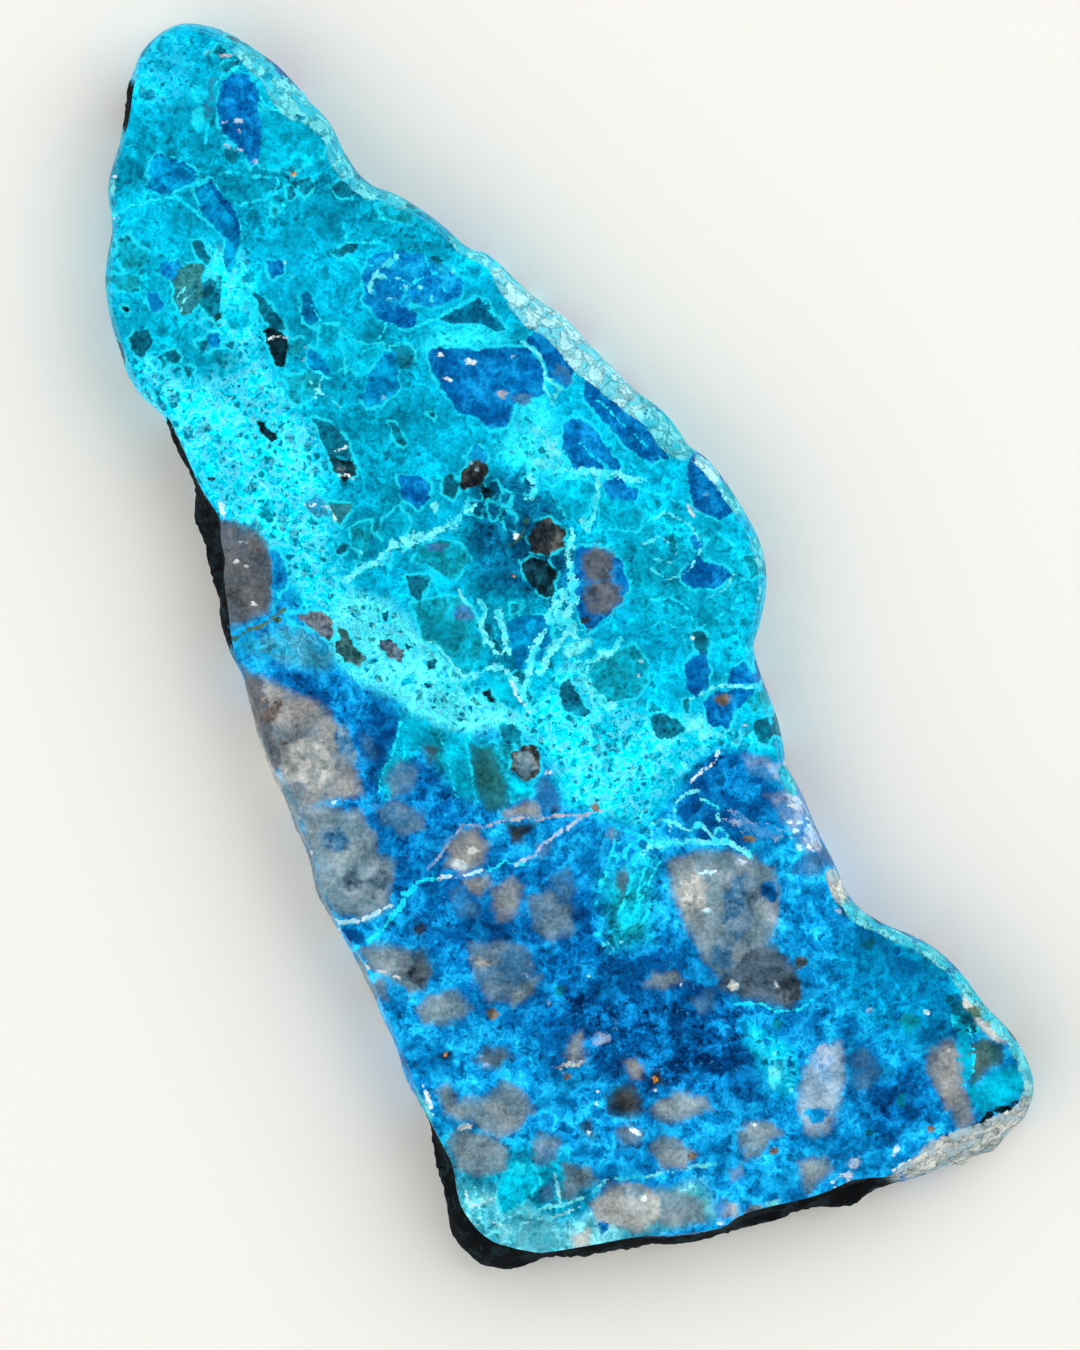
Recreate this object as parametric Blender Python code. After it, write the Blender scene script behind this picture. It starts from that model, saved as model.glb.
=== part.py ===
"""A slab of gem silica: one stone, sawn flat on its back, polished on its face, part rough at its edge.

The stone lies on its back. +Z points out of the polished face and +Y towards the narrow end.
Outline measures are millimetres, with ten pixels of the photograph to one millimetre of stone.
"""

import math

import bpy
from mathutils import Vector, noise

MM = 0.001

THICKNESS = 9.0
# The middle of the stone's box, across and down from the photograph's top left corner.
MIDDLE = (57.0, 64.75)

# The rim of the polished face, clockwise from the narrow end. Each station gives its place across and
# down, how far the side wall stands out past the rim, and how much that wall is a shaded ledge (1)
# instead of a rounded, ground edge (0).
RIM = [
    (17.8, 3.0, 0.5, 0.0),
    (20.5, 3.2, 0.7, 0.0),
    (22.3, 4.3, 1.2, 0.0),
    (24.6, 6.2, 1.7, 0.0),
    (26.3, 8.0, 2.2, 0.0),
    (27.6, 10.1, 2.7, 0.0),
    (29.0, 11.7, 2.6, 0.0),
    (30.9, 12.4, 1.7, 0.0),
    (32.4, 13.6, 1.1, 0.0),
    (33.0, 15.4, 1.4, 0.0),
    (34.4, 17.9, 1.5, 0.0),
    (36.6, 19.6, 1.2, 0.0),
    (39.0, 20.2, 0.8, 0.0),
    (42.7, 22.1, 0.6, 0.0),
    (46.1, 25.0, 0.6, 0.0),
    (48.0, 26.0, 0.9, 0.0),
    (49.4, 27.5, 1.3, 0.0),
    (51.7, 31.1, 2.4, 0.0),
    (52.8, 32.5, 2.9, 0.0),
    (54.8, 33.4, 2.7, 0.0),
    (57.3, 36.5, 2.7, 0.0),
    (61.4, 39.8, 2.1, 0.0),
    (64.9, 42.7, 2.0, 0.0),
    (66.2, 44.4, 2.1, 0.0),
    (68.0, 45.9, 1.7, 0.0),
    (70.2, 46.6, 0.9, 0.0),
    (72.8, 50.2, 0.9, 0.0),
    (74.9, 53.7, 0.8, 0.0),
    (76.0, 57.7, 0.6, 0.0),
    (75.5, 62.0, 0.5, 0.0),
    (74.8, 64.2, 0.6, 0.0),
    (75.0, 66.2, 0.7, 0.0),
    (76.6, 70.8, 0.7, 0.0),
    (77.7, 74.4, 0.6, 0.0),
    (78.1, 76.9, 0.7, 0.0),
    (79.6, 80.6, 1.0, 0.0),
    (82.6, 86.9, 0.9, 0.0),
    (83.3, 88.9, 1.1, 0.0),
    (84.3, 90.6, 1.1, 0.0),
    (86.0, 92.2, 1.0, 0.0),
    (88.5, 93.4, 0.8, 0.0),
    (92.2, 95.1, 0.9, 0.0),
    (95.4, 97.8, 0.8, 0.0),
    (98.0, 101.1, 0.8, 0.0),
    (100.9, 104.4, 0.9, 0.0),
    (102.6, 107.7, 0.6, 0.0),
    (102.3, 110.1, 0.8, 0.0),
    (100.6, 111.4, 1.8, 0.2),
    (98.6, 112.4, 2.6, 0.3),
    (96.2, 113.3, 2.9, 0.3),
    (94.1, 114.0, 2.9, 0.3),
    (92.6, 115.3, 2.2, 0.3),
    (91.0, 116.5, 1.4, 0.4),
    (88.8, 117.6, 0.8, 0.8),
    (86.8, 117.8, 1.5, 1.0),
    (85.0, 118.1, 2.1, 1.0),
    (83.0, 119.0, 1.7, 1.0),
    (80.7, 119.8, 1.2, 1.0),
    (76.0, 120.9, 1.4, 1.0),
    (73.8, 121.7, 1.2, 0.8),
    (72.0, 122.8, 0.6, 0.8),
    (68.0, 123.4, 0.9, 1.0),
    (63.7, 123.7, 1.3, 1.0),
    (59.2, 124.5, 0.9, 1.0),
    (54.8, 125.2, 0.6, 1.0),
    (52.8, 125.1, 1.5, 1.0),
    (51.0, 124.7, 2.5, 1.0),
    (49.4, 124.2, 2.7, 1.0),
    (48.0, 123.2, 2.4, 1.0),
    (46.9, 121.9, 1.9, 1.0),
    (46.0, 120.2, 1.3, 1.0),
    (45.2, 116.4, 0.9, 1.0),
    (43.5, 112.9, 0.5, 0.8),
    (41.6, 108.7, 0.4, 0.5),
    (40.0, 104.6, 0.4, 0.5),
    (36.5, 96.5, 0.4, 0.5),
    (34.1, 92.8, 0.4, 0.5),
    (32.1, 89.0, 0.4, 0.5),
    (31.0, 85.0, 0.4, 0.5),
    (27.6, 77.0, 0.4, 0.5),
    (24.9, 68.7, 0.4, 0.5),
    (23.4, 65.0, 0.4, 0.6),
    (22.8, 60.8, 0.7, 0.9),
    (22.4, 57.8, 0.9, 1.0),
    (22.5, 56.0, 1.6, 1.0),
    (22.1, 54.0, 1.9, 1.0),
    (22.0, 52.0, 2.3, 1.0),
    (21.2, 50.5, 2.1, 1.0),
    (19.7, 47.8, 1.0, 1.0),
    (17.7, 43.2, 0.5, 0.8),
    (16.6, 41.3, 0.4, 0.6),
    (13.6, 37.8, 0.4, 0.4),
    (11.6, 32.1, 0.4, 0.2),
    (11.0, 28.0, 0.4, 0.0),
    (11.6, 23.0, 0.4, 0.0),
    (11.3, 18.8, 0.4, 0.0),
    (12.2, 14.4, 0.4, 0.0),
    (13.2, 8.6, 0.5, 0.0),
    (14.0, 6.2, 0.4, 0.0),
    (15.4, 4.5, 0.4, 0.0),
]
# Stops round the outline, about 1.4 mm apart.
STOPS = 240

# The outline was read from straight above, this far over the face and over this place. What lies
# lower than the face looks smaller from there, so the wall stands out by that much more.
EYE_HEIGHT = 750.0
EYE_PLACE = (54.0, 67.5)

# The belly is where the wall stands out furthest, and the wall tucks in from there to the sawn back.
BELLY_HEIGHT = 3.4
ROUND_STEPS = 6
LEDGE_DROP = 3.0
LEDGE_LIP = 0.15
TUCK_IN = 0.7
SAWN_EDGE_HEIGHT = 0.7

# Low lumps all round the wall, and the broken beds of its shaded, unground stretches.
LUMP_HEIGHT = 0.2
LUMP_LENGTH = 5.0
BED_HEIGHT = 0.8
BED_LENGTH = (5.0, 1.7)

# The pale cracked rind at the foot's right corner is a crust of small knobs.
RIND_PLACE = (98.5, 114.0)
RIND_RADIUS = 9.0
KNOB_HEIGHT = 1.0
KNOB_SIZE = 2.3


def from_photo(across, down):
    """The place on the slab, +Y up, of a measure across and down the photograph."""
    return Vector((across - MIDDLE[0], MIDDLE[1] - down))


def catmull_rom(before, start, end, after, share):
    """The value of each column between start and end, on a smooth curve through all four stations."""
    return [
        0.5 * (2 * b + (c - a) * share + (2 * a - 5 * b + 4 * c - d) * share**2
               + (3 * b - a - 3 * c + d) * share**3)
        for a, b, c, d in zip(before, start, end, after)
    ]


def stops_round_the_rim():
    """Evenly spaced (place, reach, ledge) round the rim, place in millimetres with +Y up the slab."""
    fine = []
    for i in range(len(RIM)):
        four = [RIM[(i + k) % len(RIM)] for k in (-1, 0, 1, 2)]
        fine += [catmull_rom(*four, share / 8) for share in range(8)]
    places = [from_photo(across, down) for across, down, _, _ in fine]
    walked = [0.0]
    for here, there in zip(places, places[1:] + places[:1]):
        walked.append(walked[-1] + (there - here).length)
    stops = []
    i = 0
    for stop in range(STOPS):
        goal = walked[-1] * stop / STOPS
        while walked[i + 1] < goal:
            i += 1
        share = (goal - walked[i]) / (walked[i + 1] - walked[i])
        j = (i + 1) % len(fine)
        place = places[i].lerp(places[j], share)
        reach, ledge = (fine[i][k] + (fine[j][k] - fine[i][k]) * share for k in (2, 3))
        stops.append((place, max(reach, 0.3), min(max(ledge, 0.0), 1.0)))
    return stops


def outward(places, i):
    """The unit direction away from the stone at place i of the clockwise rim."""
    along = places[(i + 1) % len(places)] - places[i - 1]
    return Vector((-along.y, along.x)).normalized()


def wall_profile(reach, ledge):
    """(distance out from the rim, height) down the wall, from just under the rim to the sawn back."""
    profile = []
    for step in range(1, ROUND_STEPS + 1):
        turn = math.pi / 2 * step / ROUND_STEPS
        round_out = reach * math.sin(turn)
        round_height = BELLY_HEIGHT + (THICKNESS - BELLY_HEIGHT) * math.cos(turn)
        # A ledge drops almost straight from the rim, then flares to the belly.
        share = step / ROUND_STEPS
        flare = max(0.0, (share - 0.4) / 0.6)
        ledge_out = LEDGE_LIP * min(1.0, share / 0.3) + (reach - LEDGE_LIP) * flare ** 0.8
        ledge_height = THICKNESS - LEDGE_DROP * min(1.0, share / 0.4)
        ledge_height -= (THICKNESS - LEDGE_DROP - BELLY_HEIGHT) * flare
        profile.append((
            round_out + (ledge_out - round_out) * ledge,
            round_height + (ledge_height - round_height) * ledge,
        ))
    profile.append((reach * 0.97, BELLY_HEIGHT * 0.55))
    profile.append((reach - TUCK_IN * 0.35, SAWN_EDGE_HEIGHT))
    profile.append((reach - TUCK_IN, 0.0))
    return profile


def proud(place, height, ledge):
    """How far the rough wall stands out or in there, in millimetres."""
    here = Vector((place.x, place.y, height))
    lump = noise.noise(here / LUMP_LENGTH)
    along, up = BED_LENGTH
    bed = noise.noise(Vector((place.x / along, place.y / along, height / up)))
    knob = 0.5 - noise.voronoi(here / KNOB_SIZE)[0][0]
    rind = max(0.0, 1 - (place - from_photo(*RIND_PLACE)).length / RIND_RADIUS)
    below_rim = min(1.0, (THICKNESS - height) / 1.5)
    return below_rim * (LUMP_HEIGHT * lump + BED_HEIGHT * bed * ledge + KNOB_HEIGHT * knob * rind)


def slab_rings():
    """The slab's closed rings from the polished rim down to the sawn back, in millimetres."""
    stops = stops_round_the_rim()
    places = [place for place, _, _ in stops]
    rings = [[(place.x, place.y, THICKNESS) for place in places]]
    columns = []
    for i, (place, reach, ledge) in enumerate(stops):
        away = outward(places, i)
        hidden = away.dot(place - from_photo(*EYE_PLACE)) * (THICKNESS - BELLY_HEIGHT) / EYE_HEIGHT
        column = []
        for out, height in wall_profile(reach + max(0.0, hidden), ledge):
            there = place + away * (out + proud(place, height, ledge))
            column.append((there.x, there.y, height))
        columns.append(column)
    return rings + [list(ring) for ring in zip(*columns)]


def stone_material():
    """Polished blue-green silica, seen as one colour from across a room."""
    material = bpy.data.materials.new("polished_gem_silica")
    material.use_nodes = True
    surface = material.node_tree.nodes["Principled BSDF"]
    surface.inputs["Base Color"].default_value = (0.02, 0.36, 0.62, 1.0)
    surface.inputs["Roughness"].default_value = 0.12
    surface.inputs["Metallic"].default_value = 0.0
    return material


def gem_silica_slab(collection):
    """The whole stone, lofted through its rings and closed by its two flat faces."""
    rings = slab_rings()
    corners = [tuple(value * MM for value in corner) for ring in rings for corner in ring]
    faces = [list(range(STOPS))[::-1]]
    for level in range(len(rings) - 1):
        for i in range(STOPS):
            j = (i + 1) % STOPS
            upper, lower = level * STOPS, (level + 1) * STOPS
            faces.append((upper + i, upper + j, lower + j, lower + i))
    faces.append([(len(rings) - 1) * STOPS + i for i in range(STOPS)])
    mesh = bpy.data.meshes.new("gem_silica_slab")
    mesh.from_pydata(corners, [], faces)
    mesh.validate()
    mesh.shade_smooth()
    mesh.set_sharp_from_angle(angle=math.radians(35))
    mesh.materials.append(stone_material())
    slab = bpy.data.objects.new("gem_silica_slab", mesh)
    collection.objects.link(slab)
    return slab


def main():
    for old in list(bpy.data.objects):
        bpy.data.objects.remove(old)
    collection = bpy.data.collections.new("Gem silica slab")
    bpy.context.scene.collection.children.link(collection)
    gem_silica_slab(collection)


main()
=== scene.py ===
"""A polished slab of gem silica, lying on its sawn back and seen from straight above.

Blue-green chrysocolla silica has cemented broken pieces of older rock. Sawing and polishing cuts straight
through them, so the face is flat and everything on it is colour, while the slab's side stays part rough.
"""

import math

import bpy
import numpy as np
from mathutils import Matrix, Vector, noise
from mathutils.geometry import delaunay_2d_cdt


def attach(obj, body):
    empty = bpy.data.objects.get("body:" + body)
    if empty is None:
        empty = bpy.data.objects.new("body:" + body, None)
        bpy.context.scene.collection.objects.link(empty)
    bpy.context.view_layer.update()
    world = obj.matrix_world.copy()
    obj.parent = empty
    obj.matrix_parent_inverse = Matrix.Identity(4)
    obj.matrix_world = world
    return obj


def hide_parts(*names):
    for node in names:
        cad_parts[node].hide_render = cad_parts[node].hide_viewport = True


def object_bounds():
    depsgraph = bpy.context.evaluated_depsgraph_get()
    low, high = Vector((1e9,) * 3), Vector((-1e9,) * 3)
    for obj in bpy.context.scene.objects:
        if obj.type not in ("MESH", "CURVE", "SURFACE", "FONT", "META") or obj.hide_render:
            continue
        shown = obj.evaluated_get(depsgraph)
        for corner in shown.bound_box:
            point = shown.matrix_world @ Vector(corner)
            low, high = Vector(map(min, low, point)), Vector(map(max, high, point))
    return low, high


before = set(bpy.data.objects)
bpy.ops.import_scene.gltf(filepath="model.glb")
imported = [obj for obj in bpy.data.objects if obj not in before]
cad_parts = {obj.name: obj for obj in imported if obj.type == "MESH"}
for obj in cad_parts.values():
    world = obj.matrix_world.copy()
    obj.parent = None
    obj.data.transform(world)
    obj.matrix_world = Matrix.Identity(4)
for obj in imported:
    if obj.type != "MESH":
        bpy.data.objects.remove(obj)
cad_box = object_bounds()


# The shape of the slab. The real one is a single stone, sawn flat on both sides and then polished on this
# face. Most of its edge is ground round, and the rest is left as it broke: beds at the left and along the
# foot, and a crust of pale rind at the foot's right corner.

MM = 0.001
THICKNESS = 9.0
# The middle of the stone's box, across and down from the photograph's top left corner.
MIDDLE = (57.0, 64.75)

# The rim of the polished face, clockwise from the narrow end, in millimetres: place across and down, how
# far the side stands out past the rim, and how much it is a broken ledge (1) or a ground edge (0).
RIM = [
    (17.8, 3.0, 0.5, 0.0), (20.5, 3.2, 0.7, 0.0), (22.3, 4.3, 1.2, 0.0), (24.6, 6.2, 1.7, 0.0),
    (26.3, 8.0, 2.2, 0.0), (27.6, 10.1, 2.7, 0.0), (29.0, 11.7, 2.6, 0.0), (30.9, 12.4, 1.7, 0.0),
    (32.4, 13.6, 1.1, 0.0), (33.0, 15.4, 1.4, 0.0), (34.4, 17.9, 1.5, 0.0), (36.6, 19.6, 1.2, 0.0),
    (39.0, 20.2, 0.8, 0.0), (42.7, 22.1, 0.6, 0.0), (46.1, 25.0, 0.6, 0.0), (48.0, 26.0, 0.9, 0.0),
    (49.4, 27.5, 1.3, 0.0), (51.7, 31.1, 2.4, 0.0), (52.8, 32.5, 2.6, 0.0), (54.8, 33.4, 2.3, 0.0),
    (57.3, 36.5, 2.7, 0.0), (61.4, 39.8, 2.1, 0.0), (64.9, 42.7, 2.0, 0.0), (66.2, 44.4, 2.1, 0.0),
    (68.0, 45.9, 1.7, 0.0), (70.2, 46.6, 0.9, 0.0), (72.8, 50.2, 0.9, 0.0), (74.9, 53.7, 0.8, 0.0),
    (76.0, 57.7, 0.6, 0.0), (75.5, 62.0, 0.5, 0.0), (74.8, 64.2, 0.6, 0.0), (75.0, 66.2, 0.7, 0.0),
    (76.6, 70.8, 0.7, 0.0), (77.7, 74.4, 0.6, 0.0), (78.1, 76.9, 0.7, 0.0), (79.6, 80.6, 1.0, 0.0),
    (82.6, 86.9, 0.9, 0.0), (83.3, 88.9, 1.1, 0.0), (84.3, 90.6, 1.1, 0.0), (86.0, 92.2, 1.0, 0.0),
    (88.5, 93.4, 0.8, 0.0), (92.2, 95.1, 0.9, 0.0), (95.4, 97.8, 0.8, 0.0), (98.0, 101.1, 0.8, 0.0),
    (100.9, 104.4, 0.9, 0.0), (102.6, 107.7, 0.6, 0.0), (102.3, 110.1, 0.8, 0.0), (100.6, 111.4, 1.8, 0.2),
    (98.6, 112.4, 2.6, 0.3), (96.2, 113.3, 2.9, 0.3), (94.1, 114.0, 2.9, 0.3), (92.6, 115.3, 2.2, 0.3),
    (91.0, 116.5, 1.4, 0.4), (88.8, 117.6, 0.8, 0.8), (86.8, 117.8, 1.5, 1.0), (85.0, 118.1, 2.1, 1.0),
    (83.0, 119.0, 1.7, 1.0), (80.7, 119.8, 1.2, 1.0), (76.0, 120.9, 1.4, 1.0), (73.8, 121.7, 1.2, 0.8),
    (72.0, 122.8, 0.6, 0.8), (68.0, 123.4, 0.9, 1.0), (63.7, 123.7, 1.3, 1.0), (59.2, 124.5, 0.9, 1.0),
    (54.8, 125.2, 0.6, 1.0), (52.8, 125.1, 1.5, 1.0), (51.0, 124.7, 2.5, 1.0), (49.4, 124.2, 2.7, 1.0),
    (48.0, 123.2, 2.4, 1.0), (46.9, 121.9, 1.9, 1.0), (46.0, 120.2, 1.3, 1.0), (45.2, 116.4, 0.9, 1.0),
    (43.5, 112.9, 0.5, 0.8), (41.6, 108.7, 0.4, 0.5), (40.0, 104.6, 0.4, 0.5), (36.5, 96.5, 0.4, 0.5),
    (34.1, 92.8, 0.4, 0.5), (32.1, 89.0, 0.4, 0.5), (31.0, 85.0, 0.4, 0.5), (27.6, 77.0, 0.4, 0.5),
    (24.9, 68.7, 0.4, 0.5), (23.4, 65.0, 0.4, 0.6), (22.8, 60.8, 0.7, 0.9), (22.4, 57.8, 0.9, 1.0),
    (22.5, 56.0, 1.6, 1.0), (22.1, 54.0, 1.9, 1.0), (22.0, 52.0, 2.3, 1.0), (21.2, 50.5, 2.1, 1.0),
    (19.7, 47.8, 1.0, 1.0), (17.7, 43.2, 0.5, 0.8), (16.6, 41.3, 0.4, 0.6), (13.6, 37.8, 0.4, 0.4),
    (11.6, 32.1, 0.4, 0.2), (11.0, 28.0, 0.4, 0.0), (11.6, 23.0, 0.4, 0.0), (11.3, 18.8, 0.4, 0.0),
    (12.3, 14.6, 0.4, 0.3), (13.0, 11.4, 0.4, 0.9), (13.4, 8.7, 0.5, 0.8), (14.2, 6.2, 0.4, 0.0),
    (15.4, 4.5, 0.4, 0.0),
]
# The smooth curve has this many steps between stations, and then this many even stops all round.
STEPS_BETWEEN = 12
STOPS = 960
# The wall faces square to the line between the stops this many before and after.
AIM_STOPS = 4
# It stands out at least this far, so that the edge is nowhere sharp.
LEAST_REACH = 0.3
# The outline was read from straight above, this far over the face and over this place.
EYE_HEIGHT = 750.0
EYE_PLACE = (54.0, 67.5)

# The side wall: the height where it is widest, and the steps round the ground edge from the rim to there.
BELLY_HEIGHT = 3.4
ROUND_STEPS = 8
# A broken ledge goes out to a small lip, drops, and flares out. The lip and the drop end at these shares.
LEDGE_LIP, LIP_END = 0.15, 0.3
LEDGE_DROP, DROP_END = 3.0, 0.4
FLARE_CURVE = 0.8
# Under its widest height the wall tucks in to the sawn back, whose edge is this high.
TUCK_IN = 0.7
SAWN_EDGE_HEIGHT = 0.7
# Rough wall: broad lumps, beds that are long and thin, knobs of rind and fine chips, and their sizes.
LUMP_HEIGHT, LUMP_LENGTH = 0.2, 5.0
BED_HEIGHT, BED_LENGTH = 0.8, (5.0, 1.7)
KNOB_HEIGHT, KNOB_SIZE = 1.0, 2.3
CHIP_DEPTH, CHIP_SIZE = 0.35, 0.9
# The knobs lie round this place.
RIND_PLACE = (98.5, 114.0)
RIND_RADIUS = 9.0
# Roughness fades in over this far below the rim and above the back, and ground edge keeps a little of it.
RIM_FADE, BACK_FADE = 1.5, 1.2
GROUND_ROUGHNESS = 0.06
# How fine the meshes of the two flat faces are, and the share of that which stays clear of their rings.
FACE_PITCH, BACK_PITCH = 0.29, 1.3
RING_CLEARANCE = 0.45


def from_photo(across, down):
    """The place on the slab, +Y up, of a measure across and down the photograph."""
    return Vector((across - MIDDLE[0], MIDDLE[1] - down))


def catmull_rom(before, start, end, after, share):
    """The value of each column between start and end, on a smooth curve through all four stations."""
    return [
        0.5 * (2 * b + (c - a) * share + (2 * a - 5 * b + 4 * c - d) * share**2
               + (3 * b - a - 3 * c + d) * share**3)
        for a, b, c, d in zip(before, start, end, after)
    ]


def stops_round_the_rim():
    """Evenly spaced (place, reach, ledge) round the rim."""
    fine = []
    for i in range(len(RIM)):
        four = [RIM[(i + k) % len(RIM)] for k in (-1, 0, 1, 2)]
        fine += [catmull_rom(*four, step / STEPS_BETWEEN) for step in range(STEPS_BETWEEN)]
    places = [from_photo(across, down) for across, down, _, _ in fine]
    walked = [0.0]
    for here, there in zip(places, places[1:] + places[:1]):
        walked.append(walked[-1] + (there - here).length)
    stops = []
    i = 0
    for stop in range(STOPS):
        goal = walked[-1] * stop / STOPS
        while walked[i + 1] < goal:
            i += 1
        share = (goal - walked[i]) / (walked[i + 1] - walked[i])
        j = (i + 1) % len(fine)
        reach, ledge = (fine[i][k] + (fine[j][k] - fine[i][k]) * share for k in (2, 3))
        stops.append((places[i].lerp(places[j], share), max(reach, LEAST_REACH), min(max(ledge, 0.0), 1.0)))
    return stops


def wall_profile(reach, ledge):
    """(distance out from the rim, height) down the wall, from just under the rim to the sawn back."""
    profile = []
    for step in range(1, ROUND_STEPS + 1):
        turn = math.pi / 2 * step / ROUND_STEPS
        share = step / ROUND_STEPS
        flare = max(0.0, (share - DROP_END) / (1 - DROP_END))
        round_out = reach * math.sin(turn)
        round_height = BELLY_HEIGHT + (THICKNESS - BELLY_HEIGHT) * math.cos(turn)
        ledge_out = LEDGE_LIP * min(1.0, share / LIP_END) + (reach - LEDGE_LIP) * flare**FLARE_CURVE
        ledge_height = THICKNESS - LEDGE_DROP * min(1.0, share / DROP_END)
        ledge_height -= (THICKNESS - LEDGE_DROP - BELLY_HEIGHT) * flare
        profile.append((
            round_out + (ledge_out - round_out) * ledge,
            round_height + (ledge_height - round_height) * ledge,
        ))
    return profile + [
        (reach * 0.99, BELLY_HEIGHT * 0.78),
        (reach * 0.97, BELLY_HEIGHT * 0.55),
        (reach - TUCK_IN * 0.18, BELLY_HEIGHT * 0.36),
        (reach - TUCK_IN * 0.35, SAWN_EDGE_HEIGHT),
        (reach - TUCK_IN, 0.0),
    ]


def rind_share(place):
    """How much of the wall there is knobbly rind."""
    return max(0.0, 1 - (place - from_photo(*RIND_PLACE)).length / RIND_RADIUS)


def proud(place, height, ledge):
    """How far the rough wall stands out or in there, in millimetres."""
    here = Vector((place.x, place.y, height))
    lump = noise.noise(here / LUMP_LENGTH)
    along, up = BED_LENGTH
    bed = noise.noise(Vector((place.x / along, place.y / along, height / up)))
    knob = 0.5 - noise.voronoi(here / KNOB_SIZE)[0][0]
    chip = abs(noise.fractal(here / CHIP_SIZE, 0.8, 2.1, 3))
    rough = max(ledge, min(1.0, 2 * rind_share(place)), GROUND_ROUGHNESS)
    below_rim = min(1.0, (THICKNESS - height) / RIM_FADE)
    rough *= min(1.0, height / BACK_FADE)
    swell = LUMP_HEIGHT * lump + BED_HEIGHT * bed * ledge + KNOB_HEIGHT * knob * rind_share(place)
    return below_rim * (swell - CHIP_DEPTH * chip * rough)


def hex_lattice(outline, pitch, clear):
    """Points on a lattice of equal triangles at least clear inside the outline, and their depths."""
    low = [min(p[k] for p in outline) for k in (0, 1)]
    high = [max(p[k] for p in outline) for k in (0, 1)]
    row_gap = pitch * math.sqrt(3) / 2
    rows = np.arange(low[1], high[1], row_gap)
    points = []
    for number, y in enumerate(rows):
        x = np.arange(low[0] + (number % 2) * pitch / 2, high[0], pitch)
        points.append(np.column_stack([x, np.full(len(x), y)]))
    points = np.concatenate(points)
    depth = depth_in(outline, points[:, 0], points[:, 1])
    return points[depth > clear], depth[depth > clear]


def distance_from(line, x, y):
    """How far each point lies from a line of straight steps."""
    nearest = np.full(x.shape, 1e9)
    for (x0, y0), (x1, y1) in zip(line, line[1:]):
        dx, dy = x1 - x0, y1 - y0
        share = np.clip(((x - x0) * dx + (y - y0) * dy) / max(dx * dx + dy * dy, 1e-9), 0, 1)
        nearest = np.minimum(nearest, (x - x0 - share * dx) ** 2 + (y - y0 - share * dy) ** 2)
    return np.sqrt(nearest)


def depth_in(outline, x, y):
    """How deep each point lies inside the closed outline, negative outside it."""
    closed = outline + outline[:1]
    inside = np.zeros(x.shape, bool)
    for (x0, y0), (x1, y1) in zip(closed, closed[1:]):
        if y0 != y1:
            crosses = (y0 > y) != (y1 > y)
            inside ^= crosses & (x < x0 + (y - y0) / (y1 - y0) * (x1 - x0))
    return np.where(inside, 1, -1) * distance_from(closed, x, y)


def flat_face(outline, pitch, height, first, upward):
    """A flat face in a ring whose corner numbers begin at first: its corners, triangles and depths."""
    ring = [Vector(p) for p in outline]
    inner, depths = hex_lattice(outline, pitch, pitch * RING_CLEARANCE)
    points = ring + [Vector(p) for p in inner]
    flat, _, faces, sources, _, _ = delaunay_2d_cdt(points, [], [list(range(len(ring)))], 1, 1e-7)
    if len(flat) != len(points):
        raise ValueError(f"points of the flat face at {height} fell together: {len(points)} to {len(flat)}")
    number = [0] * len(flat)
    for place, source in enumerate(sources):
        number[place] = first + source[0] if source[0] < len(ring) else source[0] - len(ring)
    is_ring = [source[0] < len(ring) for source in sources]
    corners = [(x, y, height) for x, y in inner]
    triangles = []
    for face in faces:
        a, b, c = (flat[corner] for corner in face)
        if ((b - a).cross(c - a) > 0) != upward:
            face = face[::-1]
        triangles.append([(is_ring[corner], number[corner]) for corner in face])
    return corners, triangles, list(depths)


# How far the pattern leans inwards as the edge goes down, and how it is shifted on the sawn back.
PATTERN_LEAN = 0.5
BACK_SHIFT = (2.5, -1.5)


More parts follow.
